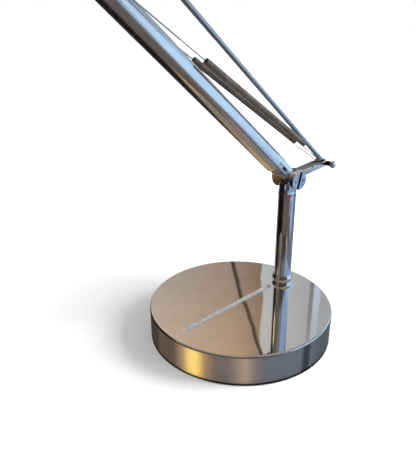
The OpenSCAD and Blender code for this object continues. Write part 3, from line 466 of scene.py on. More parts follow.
low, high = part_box("base_cover")
BASE_R = (high.x - low.x) / 2
BASE_TOP = high.z
BASE_LOW = low.z
TURN = math.atan2(PIVOT.y, PIVOT.x)
groove_along = Vector((math.cos(TURN), math.sin(TURN), 0))
COVER_WALL = 0.0014
COVER_EDGE = 0.0003
INNER_STEP = 0.0002
RIM = 0.0025
GROOVE_W = 0.0066
GROOVE_DEPTH = 0.0024
GROOVE_L = 0.136
GROOVE_SHIFT = -0.0164
GROOVE_STEPS = 12
COVER_SIDES = 240
GROOVE_SIDES = 64
ORIGIN = Vector((0, 0, 0))

cover_profile = [
    (BASE_R - COVER_WALL - INNER_STEP, BASE_TOP - GROOVE_DEPTH - COVER_WALL, 0),
    (BASE_R - COVER_WALL, BASE_LOW), (BASE_R, BASE_LOW, COVER_EDGE),
    (BASE_R, BASE_TOP, RIM * 0.9), (0, BASE_TOP),
]
cover_bm = lathe_bm(rounded(cover_profile, 0, 8), ORIGIN, UP, COVER_SIDES)
bmesh.ops.contextual_create(cover_bm, geom=[e for e in cover_bm.edges if e.is_boundary])
cover = finish_mesh("base_cover_finished", cover_bm, "base", "chrome", CHROME_BASE)
groove_r = (GROOVE_W ** 2 / 4 + GROOVE_DEPTH ** 2) / (2 * GROOVE_DEPTH)
half_run = (GROOVE_L - GROOVE_W) / 2
arc = [math.pi / 2 * k / GROOVE_STEPS for k in range(GROOVE_STEPS + 1)]
groove_profile = [(groove_r * math.sin(a), -half_run - groove_r * math.cos(a)) for a in arc]
groove_profile += [(groove_r * math.cos(a), half_run + groove_r * math.sin(a)) for a in arc]
groove_profile[0] = (0, groove_profile[0][1])
groove_profile[-1] = (0, groove_profile[-1][1])
groove_at = groove_along * GROOVE_SHIFT + UP * (BASE_TOP - GROOVE_DEPTH + groove_r)
cut_with(cover, [lathe_bm(groove_profile, groove_at, groove_along, GROOVE_SIDES)])
cover.data.materials.append(SATIN)
just_below = BASE_TOP - 0.00002
for face in cover.data.polygons:
    middle = face.center
    if middle.z < just_below and math.hypot(middle.x, middle.y) < BASE_R - 2 * RIM:
        face.material_index = 1
soften(cover, COVER_EDGE)
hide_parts("base_cover")

# Post

POST_R = 0.01
POST_BORE = 0.0085
POST_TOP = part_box("post_tube")[1].z
POST_SIDES = 128
COLLAR_R = 0.0122
COLLAR_H = 0.009
COLLAR_BORE = 0.01005
COLLAR_FOOT_R = 0.01095
COLLAR_NECK_R = 0.0104
COLLAR_ROUND = 0.0004
COLLAR_TOP_ROUND = 0.0002
BAND_SHARES = (0.45, 0.57)

post_foot = Vector((PIVOT.x, PIVOT.y, 0))
post = lathe("post_tube_finished", [
    (POST_BORE, BASE_TOP), (POST_R, BASE_TOP), (POST_R, POST_TOP), (POST_BORE, POST_TOP),
    (POST_BORE, BASE_TOP)],
    post_foot, UP, "base", "chrome", MATS["chrome"], POST_SIDES)
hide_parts("post_tube")
collar = lathe("post_collar_finished", [
    (COLLAR_BORE, BASE_TOP), (COLLAR_FOOT_R, BASE_TOP),
    (COLLAR_R, BASE_TOP + COLLAR_H * BAND_SHARES[0], COLLAR_ROUND),
    (COLLAR_R, BASE_TOP + COLLAR_H * BAND_SHARES[1], COLLAR_ROUND),
    (COLLAR_NECK_R, BASE_TOP + COLLAR_H, COLLAR_TOP_ROUND),
    (COLLAR_BORE, BASE_TOP + COLLAR_H), (COLLAR_BORE, BASE_TOP)],
    post_foot, UP, "base", "chrome", MATS["chrome"], POST_SIDES)
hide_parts("post_collar")

# Arm tubes


def arm_frame(root, tip):
    """The directions along an arm and square to it on its upper side."""
    along = (tip - root).normalized()
    normal = along.cross(SIDE).normalized()
    if normal.z < 0:
        normal = -normal
    return along, normal


TUBE_SIDES = 96
TUBE_SPANS = 30
TUBE_EDGE = 0.00025


def slanted_tube(node, root, tip, r, bore, root_gap, tip_gap, slant, material, cuts):
    """A tube from near the root to near the tip, with its ends cut at a slant in degrees."""
    along, normal = arm_frame(root, tip)
    length = (tip - root).length
    lean = math.tan(math.radians(slant))
    bm = bmesh.new()
    rings = []
    places = [(bore, 1 - k / TUBE_SPANS) for k in range(TUBE_SPANS + 1)]
    places += [(r, k / TUBE_SPANS) for k in range(TUBE_SPANS + 1)]
    for radius, share in places:
        base = root_gap + (length - tip_gap - root_gap) * share
        ring = []
        for k in range(TUBE_SIDES):
            a = 2 * math.pi * k / TUBE_SIDES
            n = radius * math.cos(a)
            s = base - lean * n
            ring.append(bm.verts.new(root + along * s + normal * n
                                     + SIDE * radius * math.sin(a)))
        rings.append(ring)
    for a, b in zip(rings, rings[1:] + rings[:1]):
        for k in range(TUBE_SIDES):
            n = (k + 1) % TUBE_SIDES
            bm.faces.new((a[k], a[n], b[n], b[k]))
    obj = finish_mesh(node + "_finished", bm, BODY_OF[node], "chrome", material)
    cut_with(obj, cuts)
    soften(obj, TUBE_EDGE)
    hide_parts(node)


def matrix_from(at, x, y, z):
    """The frame at a place with three given directions."""
    m = Matrix((x, y, z)).transposed().to_4x4()
    m.translation = at
    return m


# How far a cut reaches to each side of an arm's middle
REACH = 0.02
HOLE_SIDES = 32
SLOT_STEPS = 12


def pin_hole(root, along, at, d):
    """A round hole across an arm."""
    r = d / 2
    profile = [(0, -REACH), (r, -REACH), (r, REACH), (0, REACH)]
    return lathe_bm(profile, root + along * at, SIDE, HOLE_SIDES)


def slot_bm(root, along, normal, start, run, width):
    """A slot with round ends, cut across an arm."""
    r = width / 2
    outline = []
    for middle, first in ((start + run - r, 0), (start + r, 180)):
        for k in range(SLOT_STEPS + 1):
            a = math.radians(first + 180 / SLOT_STEPS * k)
            outline.append(root + along * (middle + r * math.sin(a)) + normal * r * math.cos(a))
    bm = bmesh.new()
    near = [bm.verts.new(p + SIDE * REACH) for p in outline]
    far = [bm.verts.new(p - SIDE * REACH) for p in outline]
    bm.faces.new(near)
    bm.faces.new(far)
    count = len(outline)
    for k in range(count):
        n = (k + 1) % count
        bm.faces.new((near[k], near[n], far[n], far[k]))
    return bm


CROSS_HOLE = 0.003
ANCHOR_HOLE = 0.0031
ROOT_GAP = 0.013

LOW_R = 0.0108
LOW_BORE = 0.0093
LOW_TIP_GAP = 0.024
LOW_SLANT = 34
LOW_CROSS = 0.042
# The cheeks at the tube's lower end: how far they reach under and over the arm's middle line, how
# far along the arm the tube is cut away under and over them, and the slot across them
CHEEK_UNDER, UNDER_CUT = 0.0035, 0.0305
CHEEK_OVER, OVER_CUT = 0.0076, 0.0236
CLEAR, CUT_START = 0.03, -0.001
SLOT_START, SLOT_RUN, SLOT_WIDE = 0.016, 0.018, 0.0037
low_along, low_normal = arm_frame(PIVOT, LOW_TIP)
m_low = matrix_from(PIVOT, low_normal, -SIDE, low_along)
low_len = (LOW_TIP - PIVOT).length
slanted_tube("lower_tube", PIVOT, LOW_TIP, LOW_R, LOW_BORE, ROOT_GAP, LOW_TIP_GAP, LOW_SLANT,
             CHROME_LOW, [
                 box_bm((-CLEAR, -REACH, CUT_START), (-CHEEK_UNDER, REACH, UNDER_CUT), m_low),
                 box_bm((CHEEK_OVER, -REACH, CUT_START), (CLEAR, REACH, OVER_CUT), m_low),
                 slot_bm(PIVOT, low_along, low_normal, SLOT_START, SLOT_RUN, SLOT_WIDE),
                 pin_hole(PIVOT, low_along, (LOW_ANCHOR - PIVOT).length, ANCHOR_HOLE),
                 pin_hole(PIVOT, low_along, low_len - LOW_CROSS, CROSS_HOLE),
             ])

UP_R = 0.009
UP_BORE = 0.0077
UP_TIP_GAP = 0.017
UP_SLANT = 26
UP_CROSS = 0.036
up_along, _ = arm_frame(UP_ROOT, UP_TIP)
up_len = (UP_TIP - UP_ROOT).length
slanted_tube("upper_tube", UP_ROOT, UP_TIP, UP_R, UP_BORE, ROOT_GAP, UP_TIP_GAP, UP_SLANT,
             CHROME_UP, [
                 pin_hole(UP_ROOT, up_along, UP_CROSS, CROSS_HOLE),
                 pin_hole(UP_ROOT, up_along, (UP_ANCHOR - UP_ROOT).length, ANCHOR_HOLE),
                 pin_hole(UP_ROOT, up_along, up_len - UP_CROSS, CROSS_HOLE),
             ])

# Springs: close wound coils on the same hooks and the same run as the open ones they replace

WIRE = 0.0009
LEAD_WIRE = 0.0012
LINK_R = 0.0006
COIL_R = 0.0028
TURN_PITCH = WIRE * 1.06
TURN_POINTS = 12
COIL_SIDES = 6
HOOK_R = 0.00225
HOOK_SIDE = 0.0033
HOOK_STEPS = 30
HOOK_FROM, HOOK_TURN = 340, 250
LEAD_GAP = 0.002
LEAD_STEPS = 12
RING_R = 0.00215
RING_STEPS = 40
RING_FROM, RING_TURN = 150, 300
# Where the straight run leaves the ring, in ring radii, and how soon it is down on the spring's line
LEAVE_ALONG, LEAVE_UP = 0.87, 0.5
DROP_RATE = 8
LINK_STEPS = 24
LINK_SIDES = 10
LINK_INSIDE = 0.016
SPRING_SIDE = 0.0059
TUBE_GAP = 0.0015
LOW_START = 0.0487
LOW_RUN = 0.1593
UP_START = 0.034
UP_RUN = 0.095


def beside_tube(pin, anchor, way, r):
    """Places points by their way along a spring's line, above it and out to the side.

    The line starts beside the middle of the pin and ends at the skin of the tube.
    """
    along, normal = arm_frame(pin, anchor)
    span = (anchor - pin).length
    slope = (r + TUBE_GAP - SPRING_SIDE) / span

    def put(x, y, z):
        return pin + along * x + normal * y + SIDE * (way * z)

    return put, slope, span


def spring_path(pin, anchor, way, r, start, run, lie):
    """A close coil with its hook. The hook's lead lies on top with lie 1, underneath with -1."""
    put, slope, _ = beside_tube(pin, anchor, way, r)
    path = []
    for i in range(HOOK_STEPS + 1):
        a = math.radians(HOOK_FROM - i * HOOK_TURN / HOOK_STEPS)
        path.append(put(HOOK_R * math.cos(a), lie * HOOK_R * math.sin(a), HOOK_SIDE))
    lead_end = start - LEAD_GAP
    for i in range(1, LEAD_STEPS):
        t = i / LEAD_STEPS
        ease = t * t * (3 - 2 * t)
        out = HOOK_SIDE + (SPRING_SIDE + slope * lead_end - HOOK_SIDE) * ease
        height = HOOK_R + (COIL_R - HOOK_R) * ease
        path.append(put(lead_end * t, lie * height, out))
    points = int(run * (1 / TURN_PITCH)) * TURN_POINTS
    for i in range(points + 1):
        x = start + run * (i / points)
        a = 2 * math.pi * i / TURN_POINTS
        path.append(put(x, lie * COIL_R * math.cos(a),
                        SPRING_SIDE + slope * x + COIL_R * math.sin(a)))
    return path


def link_path(pin, anchor, way, r, coil_end):
    """A pull wire: a ring round the anchor pin, and a straight run into the coil."""
    put, slope, span = beside_tube(pin, anchor, way, r)
    path = []
    for i in range(RING_STEPS + 1):
        a = math.radians(RING_FROM - i * RING_TURN / RING_STEPS)
        path.append(put(span + RING_R * math.cos(a), RING_R * math.sin(a),
                        SPRING_SIDE + slope * span))
    path = path[::-1]
    end = coil_end - LINK_INSIDE
    for i in range(1, LINK_STEPS + 1):
        t = i / LINK_STEPS
        x = span - RING_R * LEAVE_ALONG + (end - span) * t
        y = RING_R * LEAVE_UP * max(0.0, 1 - t * DROP_RATE)
        path.append(put(x, y, SPRING_SIDE + slope * x))
    return path


for arm, pin, anchor, r, start, run, lie in (
        ("lower", LEVER, LOW_ANCHOR, LOW_R, LOW_START, LOW_RUN, -1),
        ("upper", UP_LEVER, UP_ANCHOR, UP_R, UP_START, UP_RUN, 1)):
    for side_name, way in (("near", 1), ("far", -1)):
        node = "%s_spring_%s" % (arm, side_name)
        path = spring_path(pin, anchor, way, r, start, run, lie)
        hook = HOOK_STEPS + LEAD_STEPS
        sizes = [LEAD_WIRE / 2] * hook + [WIRE / 2] * (len(path) - hook)
        piece = wire(node + "_wound", path, sizes, BODY_OF[node], "spring_steel",
                     MATS["spring_steel"], COIL_SIDES)
        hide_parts(node)
    links = [wire("%s_link_%s" % (arm, side_name), link_path(pin, anchor, way, r, start + run),
                  LINK_R, "%s_links" % arm, "steel", MATS["steel"], LINK_SIDES)
             for side_name, way in (("near", 1), ("far", -1))]
    for piece in links:
        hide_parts("%s_links" % arm)

# Shade: the solid's bell with a smooth curve and a rolled bead, white inside as reflectors are

low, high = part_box("shade")
SHADE_WALL = 0.001
BEAD_R = 0.0012
SHADE_TOP_R = 0.023
SOCKET_HOLE_R = 0.01755
SKIRT = 0.008
SHADE_R = (high.x - low.x) / 2 - BEAD_R + SHADE_WALL / 2
BELL = high.z - low.z - SKIRT
SHADE_SIDES = 160
BELL_STEPS = 48
BEAD_STEPS = 20
ENAMEL = plain("white_enamel", (0.72, 0.71, 0.68), (0.84, 0.83, 0.8), 0.25, 0.4,
               scale=120, depth=0.03)


def bell(rim_r, depth, drop):
    """Half of the bell's outline, from its flat top to its rim."""
    angles = [math.pi / 2 * k / BELL_STEPS for k in range(BELL_STEPS + 1)]
    return [(SHADE_TOP_R + (rim_r - SHADE_TOP_R) * math.sin(a),
             -drop - depth * (1 - math.cos(a))) for a in angles]


meet = math.acos(SHADE_WALL / 2 / BEAD_R)
turns = [meet - (math.pi + 2 * meet) * k / BEAD_STEPS for k in range(BEAD_STEPS + 1)]
bead = [(SHADE_R - SHADE_WALL / 2 + BEAD_R * math.cos(a),
         -BELL - SKIRT + BEAD_R + BEAD_R * math.sin(a)) for a in turns]
outside = [(SOCKET_HOLE_R, 0)] + bell(SHADE_R, BELL, 0) + bead
inside = bell(SHADE_R - SHADE_WALL, BELL - SHADE_WALL, SHADE_WALL)[::-1]
inside += [(SOCKET_HOLE_R, -SHADE_WALL), (SOCKET_HOLE_R, 0)]
shade_at = Vector(((low.x + high.x) / 2, (low.y + high.y) / 2, high.z))
shade_bm = lathe_bm(outside + inside, shade_at, UP, SHADE_SIDES)
shade_bm.faces.ensure_lookup_table()
for i, face in enumerate(shade_bm.faces):
    if i // SHADE_SIDES >= len(outside):
        face.material_index = 1
bmesh.ops.remove_doubles(shade_bm, verts=shade_bm.verts, dist=TINY)
shade = finish_mesh("shade_finished", shade_bm, "head", "polished_aluminium",
                    MATS["polished_aluminium"], SHADE_SMOOTH)
shade.data.materials.append(ENAMEL)
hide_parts("shade")

# Small parts, from the nodes' own shapes with rounded edges

FINE = {
    "swivel_head": 0.0003, "lever_plate_near": 0.00035, "lever_plate_far": 0.00035,
    "lever_rivets": 0.0002, "pivot_screw": 0.0003, "pivot_wheel": 0.00025, "lever_pin": 0.0002,
    "lever_pin_cap": 0.0002, "lower_root_fitting": 0.0005, "lower_tip_fitting": 0.0005,
    "lower_cross_pins": 0.0002, "lower_anchor_pin": 0.0002, "lower_rod": 0.0003,
    "elbow_plate_near": 0.00035, "elbow_plate_far": 0.00035, "elbow_spacers": 0.0002,
    "elbow_pins": 0.0003, "elbow_screw": 0.0003, "elbow_wheel": 0.00025,
    "upper_root_fitting": 0.0005, "upper_tip_fitting": 0.0005, "upper_cross_pins": 0.0002,
    "upper_anchor_pin": 0.0002, "upper_rod": 0.0003, "head_plate_near": 0.00035,
    "head_plate_far": 0.00035, "head_block": 0.0003, "head_pins": 0.0003, "tilt_yoke": 0.0003,
    "tilt_screw": 0.0003, "tilt_wheel": 0.00025, "housing_cap": 0.0006, "housing": 0.0003,
    "socket": 0.0005, "socket_ring": 0.0005, "switch_bush": 0.0003, "switch_button": 0.0003,
    "cord_inlet_bush": 0.0004,
}
# The rods get a darker chrome, and the far lever plate gets its painted shade
FINISH = {"lower_rod": DARK_ROD, "upper_rod": DARK_ROD, "lever_plate_far": FAR_PLATE_SHADED}


def second_finish(piece, material, wanted):
    """Gives the faces whose middle is wanted a finish of their own."""
    piece.data.materials.append(material)
    for face in piece.data.polygons:
        if wanted(face.center):
            face.material_index = 1


SLOT_DEPTH = 0.003
FACE_EDGE = 0.0003
HEAD_EDGE = 0.0006
CASTING_HALF = 0.0035
CASTING_START = 0.013


def in_shaded_slot(node):
    """A test for the walls and the floor of the slot in a screw's near face, which get painted shade."""
    low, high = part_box(node)
    middle = (low + high) / 2
    r = (high.x - low.x) / 2 - HEAD_EDGE
    return lambda p: (low.y + FACE_EDGE < p.y < low.y + SLOT_DEPTH + FACE_EDGE
                      and math.hypot(p.x - middle.x, p.z - middle.z) < r)


def beside_tube_slot(p):
    """A test for the casting's faces that show through the slot in the lower tube."""
    q = p - PIVOT
    return abs(q.dot(low_normal)) < CASTING_HALF and q.dot(low_along) > CASTING_START


for node, width in FINE.items():
    piece = dressed(node, width, FINISH.get(node))
    # The slots in the screws' faces get black steel: painted shade in the recess, with the dirt that gathers there
    if node in ("pivot_screw", "elbow_screw", "tilt_screw"):
        second_finish(piece, MATS["black_steel"], in_shaded_slot(node))
    if node == "lower_root_fitting":
        second_finish(piece, MATS["polished_aluminium"], beside_tube_slot)

# The set screw in the near end of the lower tube's slot, with a hollow in its head
SET_SCREW_AT = 0.0184
SET_SCREW_R = 0.0014
SET_HOLLOW_R = 0.0007
SET_FOOT, SET_FLOOR, SET_TOP = 0.0086, 0.0092, 0.0097
lathe("lower_set_screw", [
    (0, SET_FOOT), (SET_SCREW_R, SET_FOOT), (SET_SCREW_R, SET_TOP), (SET_HOLLOW_R, SET_TOP),
    (SET_HOLLOW_R, SET_FLOOR), (0, SET_FLOOR)], PIVOT + low_along * SET_SCREW_AT, SIDE,
    "lower_arm", "black_steel", MATS["black_steel"], 24, radius=0.0001)

# Stage: a pale floor, and cards that the metal mirrors but the camera doesn't see

AHEAD = Vector((forward.x, forward.y, 0)).normalized()
ACROSS = Vector((AHEAD.y, -AHEAD.x, 0))
WALL_AT = 1.2
ROOM_R = 2.6
TABLE_Z = 0.0004


def card_material(name):
    m = Nodes(name)
    tone = m.add("ShaderNodeVertexColor")
    tone.layer_name = "tone"
    light = m.add("ShaderNodeEmission")
    m.link(tone.outputs["Color"], light.inputs["Color"])
    m.link(light.outputs["Emission"], m.out.inputs["Surface"])
    return m.mat


CARD = card_material("studio_card")


def card(name, points, faces, tones):
    """A glowing sheet with a tone at each corner, seen in mirrors only."""
    mesh = bpy.data.meshes.new(name)
    mesh.from_pydata([tuple(p) for p in points], [], faces)
    layer = mesh.color_attributes.new("tone", "FLOAT_COLOR", "POINT")
    for i, tone in enumerate(tones):
        layer.data[i].color = (*tone, 1)
    mesh.materials.append(CARD)
    obj = bpy.data.objects.new(name, mesh)
    scene.collection.objects.link(obj)
    obj.visible_camera = False
    obj.visible_diffuse = False
    obj.visible_shadow = False
    obj.visible_volume_scatter = False


def tone_at(stops, at):
    """The tone at a place along a list of (place, tone)."""
    for (a, low), (b, high) in zip(stops, stops[1:]):
        if a <= at <= b:
            t = (at - a) / (b - a)
            return tuple(p + (q - p) * t for p, q in zip(low, high))
    return stops[0][1] if at < stops[0][0] else stops[-1][1]


def smooth(low, high, x):
    """0 below low, 1 above high, and an even rise between."""
    t = min(max((x - low) / (high - low), 0), 1)
    return t * t * (3 - 2 * t)


def strip(name, rows, tones):
    """A sheet from rows of points, with a tone for each point."""
    points = [p for row in rows for p in row]
    wide = len(rows[0])
    faces = []
    for i in range(len(rows) - 1):
        for k in range(wide - 1):
            a = i * wide + k
            faces.append((a, a + 1, a + wide + 1, a + wide))
    card(name, points, faces, [t for row in tones for t in row])


def on_wall(u, z, lift=0.0):
    """A place on the wall by its way across and its height, or lifted off it to the lamp."""
    return AHEAD * (WALL_AT - lift) + ACROSS * u + UP * z


# Where the plain wall ends and the grey one behind it starts
WALL_EDGE = (0.174, 0.177)
# The wall that the base's top mirrors, from left to right: where a tone lies, the tone low on the
# wall and the tone high on it
WALL = [
    # A plain wall that gets darker and warmer to the right
    (-0.3, (0.51, 0.46, 0.39), (0.7, 0.54, 0.43)),
    (0.05, (0.4, 0.3, 0.23), (0.55, 0.38, 0.25)),
    (WALL_EDGE[0], (0.28, 0.19, 0.13), (0.4, 0.27, 0.17)),
    # A pale grey wall behind it
    (WALL_EDGE[1], (0.56, 0.58, 0.58), (0.59, 0.57, 0.54)),
    (0.356, (0.46, 0.46, 0.46), (0.5, 0.49, 0.48)),
    # A dark upright
    (0.36, (0.24, 0.22, 0.21), (0.36, 0.34, 0.32)),
    (0.372, (0.24, 0.22, 0.21), (0.36, 0.34, 0.32)),
    # A narrow strip of daylight
    (0.376, (0.58, 0.66, 0.8), (0.5, 0.53, 0.57)),
    (0.396, (0.58, 0.66, 0.8), (0.5, 0.53, 0.57)),
    # Grey again
    (0.402, (0.43, 0.43, 0.43), (0.45, 0.45, 0.45)),
]
# The height where the low tone starts to go over into the high one, and how far that takes
MIX_FROM, MIX_RUN = 0.66, 0.3
# The daylight low down on the right: its tone, where it starts and is full, and where it ends
DAYLIGHT_LOW = Vector((0.46, 0.56, 0.72))
DAYLIGHT_ACROSS = (0.15, 0.3)
DAYLIGHT_UP = (0.45, 0.56)
# How deep and how high the dent in the walls' edge is and half its size, and how the edge sways
DENT, DENT_AT, DENT_HALF = 0.012, 0.67, 0.05
SWAY, SWAY_RATE = 0.004, 19


def wall_u(u, z):
    """The edge between the two walls has a dent, and it sways a little with height."""
    if u in WALL_EDGE:
        dent = DENT * math.exp(-((z - DENT_AT) / DENT_HALF) ** 2)
        return u - dent + SWAY * math.sin(z * SWAY_RATE)
    return u


def wall_tone(u, z):
    """The tone of the wall, with daylight low down on its right part."""
    low = Vector(tone_at([(at, tone) for at, tone, _ in WALL], u))
    high = Vector(tone_at([(at, tone) for at, _, tone in WALL], u))
    tone = low.lerp(high, min(max((z - MIX_FROM) / MIX_RUN, 0), 1))
    cool = smooth(*DAYLIGHT_ACROSS, u) * (1 - smooth(*DAYLIGHT_UP, z))
    return tuple(tone.lerp(DAYLIGHT_LOW, cool))


COLUMNS, COLUMN_STEP = 21, 0.1
ROWS, ROW_START, ROW_STEP = 36, 0.3, 0.04
us = sorted({at for at, _, _ in WALL} | {-1 + COLUMN_STEP * k for k in range(COLUMNS)})
zs = [ROW_START + ROW_STEP * k for k in range(ROWS)]
strip("card_wall", [[on_wall(wall_u(u, z), z) for u in us] for z in zs],
      [[wall_tone(u, z) for u in us] for z in zs])

# A thin dark line that leans across the wall, by its place at each height, with a soft section
LINE = [(0.02, 0.45), (0.058, 0.591), (0.075, 0.66), (0.092, 0.742), (0.11, 0.77), (0.141, 0.87),
        (0.156, 0.935), (0.18, 1.01), (0.21, 1.1)]
LINE_SECTION = [(-0.009, (0.14, 0.11, 0.08)), (-0.003, (0.06, 0.05, 0.035)),
                (0.003, (0.1, 0.08, 0.06)), (0.009, (0.24, 0.2, 0.15))]
LINE_LIFT = 0.02
strip("card_line", [[on_wall(u + d, z, LINE_LIFT) for d, _ in LINE_SECTION] for u, z in LINE],
      [[tone for _, tone in LINE_SECTION] for _ in LINE])


# Where a patch starts to show and is full at a distance limit, as shares of the limit
SOFT_LIMIT = (0.85, 1.15)


def patched(ground, patches, at, out=None):
    """A ground tone with soft-edged patches of light or shade laid on it in turn.

    A patch has its middle in degrees, half its width, how soft its edge is, and its tone, and may
    end with the nearest and furthest distance at which it lies.
    """
    tone = Vector(ground)
    for middle, half, edge, color, *reach in patches:
        off = abs((at - middle + 180) % 360 - 180)
        share = 1 - smooth(half - edge, half + edge, off)
        if reach:
            near, far = ([limit * soft for soft in SOFT_LIMIT] for limit in reach)
            share *= smooth(*near, out)
            share *= 1 - smooth(*far, out)
        tone = tone.lerp(Vector(color), share)
    return tuple(tone)


# The table close to the base, by the polar angle at which the base's side wall mirrors it
NEAR_GROUND = (0.21, 0.17, 0.145)
NEAR_PATCHES = [
    # Shade on the left, deepest at its end
    (-205, 41, 6, (0.14, 0.105, 0.082)),
    (-208, 22, 3, (0.062, 0.055, 0.05)),
    # A warm lamp: its glow and its bright core
    (-156, 9, 6, (0.6, 0.37, 0.18)),
    (-155.5, 4.5, 3.5, (1.27, 0.86, 0.25)),
    # A faint warm light
    (-125, 4, 8, (0.52, 0.38, 0.29)),
    # Cool daylight on the right, with a thin dark bar, a dim stretch and a grey end
    (-76, 42, 8, (0.17, 0.18, 0.215)),
    (-87.5, 3, 1.5, (0.055, 0.06, 0.085)),
    (-66, 13, 8, (0.115, 0.12, 0.14)),
    (-40, 18, 8, (0.18, 0.18, 0.18)),
]
# How bright that table is at each height on the side wall: dark right under the base, a painted contact shadow
NEAR_SHARES = ((0.0, 0.04), (0.002, 0.07), (0.003, 0.8), (0.007, 0.95), (0.018, 1.0),
               (0.028, 1.0), (0.04, 0.9))
NEAR_START = -214
NEAR_SWEEP = 174
NEAR_STEPS = 200
# How far this strip lies off the side wall and off the table
NEAR_GAP = 0.0002
# A look that only grazes the side wall counts as going this much into it
LEAST_FACING = -0.05


def mirrored_from(angle):
    """Where the base's side wall sends the camera's look, as a flat direction and a fall."""
    out = Vector((math.cos(angle), math.sin(angle), 0))
    look = (out * BASE_R + UP * BASE_TOP / 2 - CAM_PLACE).normalized()
    back = look - out * 2 * min(look.dot(out), LEAST_FACING)
    fall = -back.z / math.hypot(back.x, back.y)
    return Vector((back.x, back.y, 0)).normalized(), fall


def near_point(degrees, height):
    """The place on the table that is mirrored at an angle and a height on the side wall."""
    angle = math.radians(degrees)
    flat, fall = mirrored_from(angle)
    start = Vector((math.cos(angle), math.sin(angle), 0)) * (BASE_R + NEAR_GAP)
    return start + flat * (height / fall) + UP * (TABLE_Z + NEAR_GAP)


polar = [NEAR_START + NEAR_SWEEP * k / NEAR_STEPS for k in range(NEAR_STEPS + 1)]
strip("card_table_near",
      [[near_point(degrees, height) for degrees in polar] for height, _ in NEAR_SHARES],
      [[tuple(Vector(patched(NEAR_GROUND, NEAR_PATCHES, degrees)) * dim) for degrees in polar]
       for _, dim in NEAR_SHARES])

# The table further out, by bearing, 0 ahead and + to the right, and by distance from the post
FAR_GROUND = (0.13, 0.11, 0.1)
FAR_PATCHES = [
    # The lit table ahead
    (20, 75, 25, (0.3, 0.3, 0.3)),
    # A warm spot close by on the left, and dark beyond and beside it
    (-45, 12, 8, (0.5, 0.31, 0.14), 0.08, 0.16),
    (-90, 42, 12, (0.008, 0.007, 0.008), 0.16, 9),
    (-75, 22, 8, (0.01, 0.01, 0.01), 0.08, 0.2),
    (-112, 12, 8, (0.17, 0.165, 0.16), 0.08, 0.16),
    # Dark on this side of the lamp
    (-180, 16, 12, (0.05, 0.035, 0.03), 0.16, 0.24),
    # Cool daylight on the right, in streaks
    (90, 32, 12, (0.17, 0.2, 0.28), 0.05, 0.6),
    (114, 14, 5, (0.36, 0.54, 0.88), 0.25, 0.6),
    (143, 6, 7, (0.36, 0.44, 0.54), 0.08, 0.16),
    (158, 7, 8, (0.52, 0.45, 0.38), 0.17, 0.24),
    (142, 10, 10, (0.26, 0.29, 0.34), 0.4, 1.0),
    # Bright daylight further out
    (94, 44, 12, (0.55, 0.74, 0.97), 0.62, 9),
    (126, 8, 8, (0.65, 0.87, 1.12), 0.7, 9),
]
FAR_RINGS = (0.02, 0.13, 0.2, 0.25, 0.3, 0.37, 0.45, 0.55, 0.7, 0.85, 1.4, ROOM_R)


def far_point(bearing, r):
    """The place on the table at a bearing and a distance from the post."""
    t = math.radians(bearing)
    return Vector((PIVOT.x, PIVOT.y, TABLE_Z)) + (AHEAD * math.cos(t) + ACROSS * math.sin(t)) * r


FAR_STEPS = 240
bearings = [-180 + 360 / FAR_STEPS * k for k in range(FAR_STEPS + 1)]
strip("card_table_far", [[far_point(bearing, r) for bearing in bearings] for r in FAR_RINGS],
      [[patched(FAR_GROUND, FAR_PATCHES, bearing, r) for bearing in bearings]
       for r in FAR_RINGS])


def room_look(bearing, height):
    """The direction at a bearing and a height in degrees."""
    b, h = math.radians(bearing), math.radians(height)
    return (AHEAD * math.cos(b) + ACROSS * math.sin(b)) * math.cos(h) + UP * math.sin(h)


ROOM_LOW, ROOM_HIGH = Vector((0.16, 0.14, 0.12)), Vector((0.36, 0.28, 0.2))
LEFT_DARK = Vector((0.015, 0.015, 0.018))
BEHIND_LOW, BEHIND_HIGH = Vector((0.09, 0.06, 0.05)), Vector((0.25, 0.24, 0.25))
LAMP_TONE = Vector((1.5, 1.2, 0.6))
LAMP_AT, LAMP_HALF = -93, 8.0
FRONT_TONE = Vector((0.44, 0.54, 0.68))
PANE_TONE, PANE_HIGH = Vector((0.6, 0.86, 1.12)), Vector((0.34, 0.47, 0.68))
# The window's bars: how dark, where, and half their width
BARS = ((0.25, 84, 2.2), (0.2, 108, 1.6))
WARM_TONE = Vector((1.3, 0.8, 0.33))
WARM_LOOK = room_look(-15, 76)
WARM_HALF = math.radians(8)


def band(rise, full, fall, gone, x):
    """1 from full to fall, 0 below rise and above gone, and even slopes between."""
    return smooth(rise, full, x) * (1 - smooth(fall, gone, x))


def room_tone(bearing, height):
    """The room by bearing and height in degrees: dim, with a tall window on the right."""
    upper = smooth(40, 60, height)
    tone = ROOM_LOW.lerp(ROOM_HIGH, upper)
    # Dark on the left
    tone = tone.lerp(LEFT_DARK, band(-110, -80, -60, -40, bearing) * (1 - upper))
    # Behind the camera: dark low down, grey above
    low = smooth(130, 160, abs(bearing)) * (1 - smooth(26, 31, height))
    tone = tone.lerp(BEHIND_LOW, low)
    above = smooth(150, 172, abs(bearing)) * smooth(26, 31, height) * (1 - upper)
    tone = tone.lerp(BEHIND_HIGH, above)
    # A warm lamp on the left
    lamp = math.exp(-((bearing - LAMP_AT) / LAMP_HALF) ** 2) * band(29, 35, 39, 43, height)
    tone = tone.lerp(LAMP_TONE, lamp)
    # Daylight on the wall ahead
    front = band(-4, 12, 60, 90, bearing) * (1 - smooth(30, 42, height))
    tone = tone.lerp(FRONT_TONE, front)
    # The window with its bars, and its upper part
    pane = band(24, 62, 122, 128, bearing) * (1 - smooth(24, 33, height))
    open_share = 1
    for dark, at, half in BARS:
        open_share -= dark * math.exp(-((bearing - at) / half) ** 2)
    tone = tone.lerp(PANE_TONE * open_share, pane)
    high = band(60, 80, 155, 168, bearing) * band(20, 28, 42, 60, height)
    tone = tone.lerp(PANE_HIGH, high)
    # A warm spot on the ceiling
    warm = math.exp(-(room_look(bearing, height).angle(WARM_LOOK) / WARM_HALF) ** 2)
    return tuple(tone.lerp(WARM_TONE, warm))


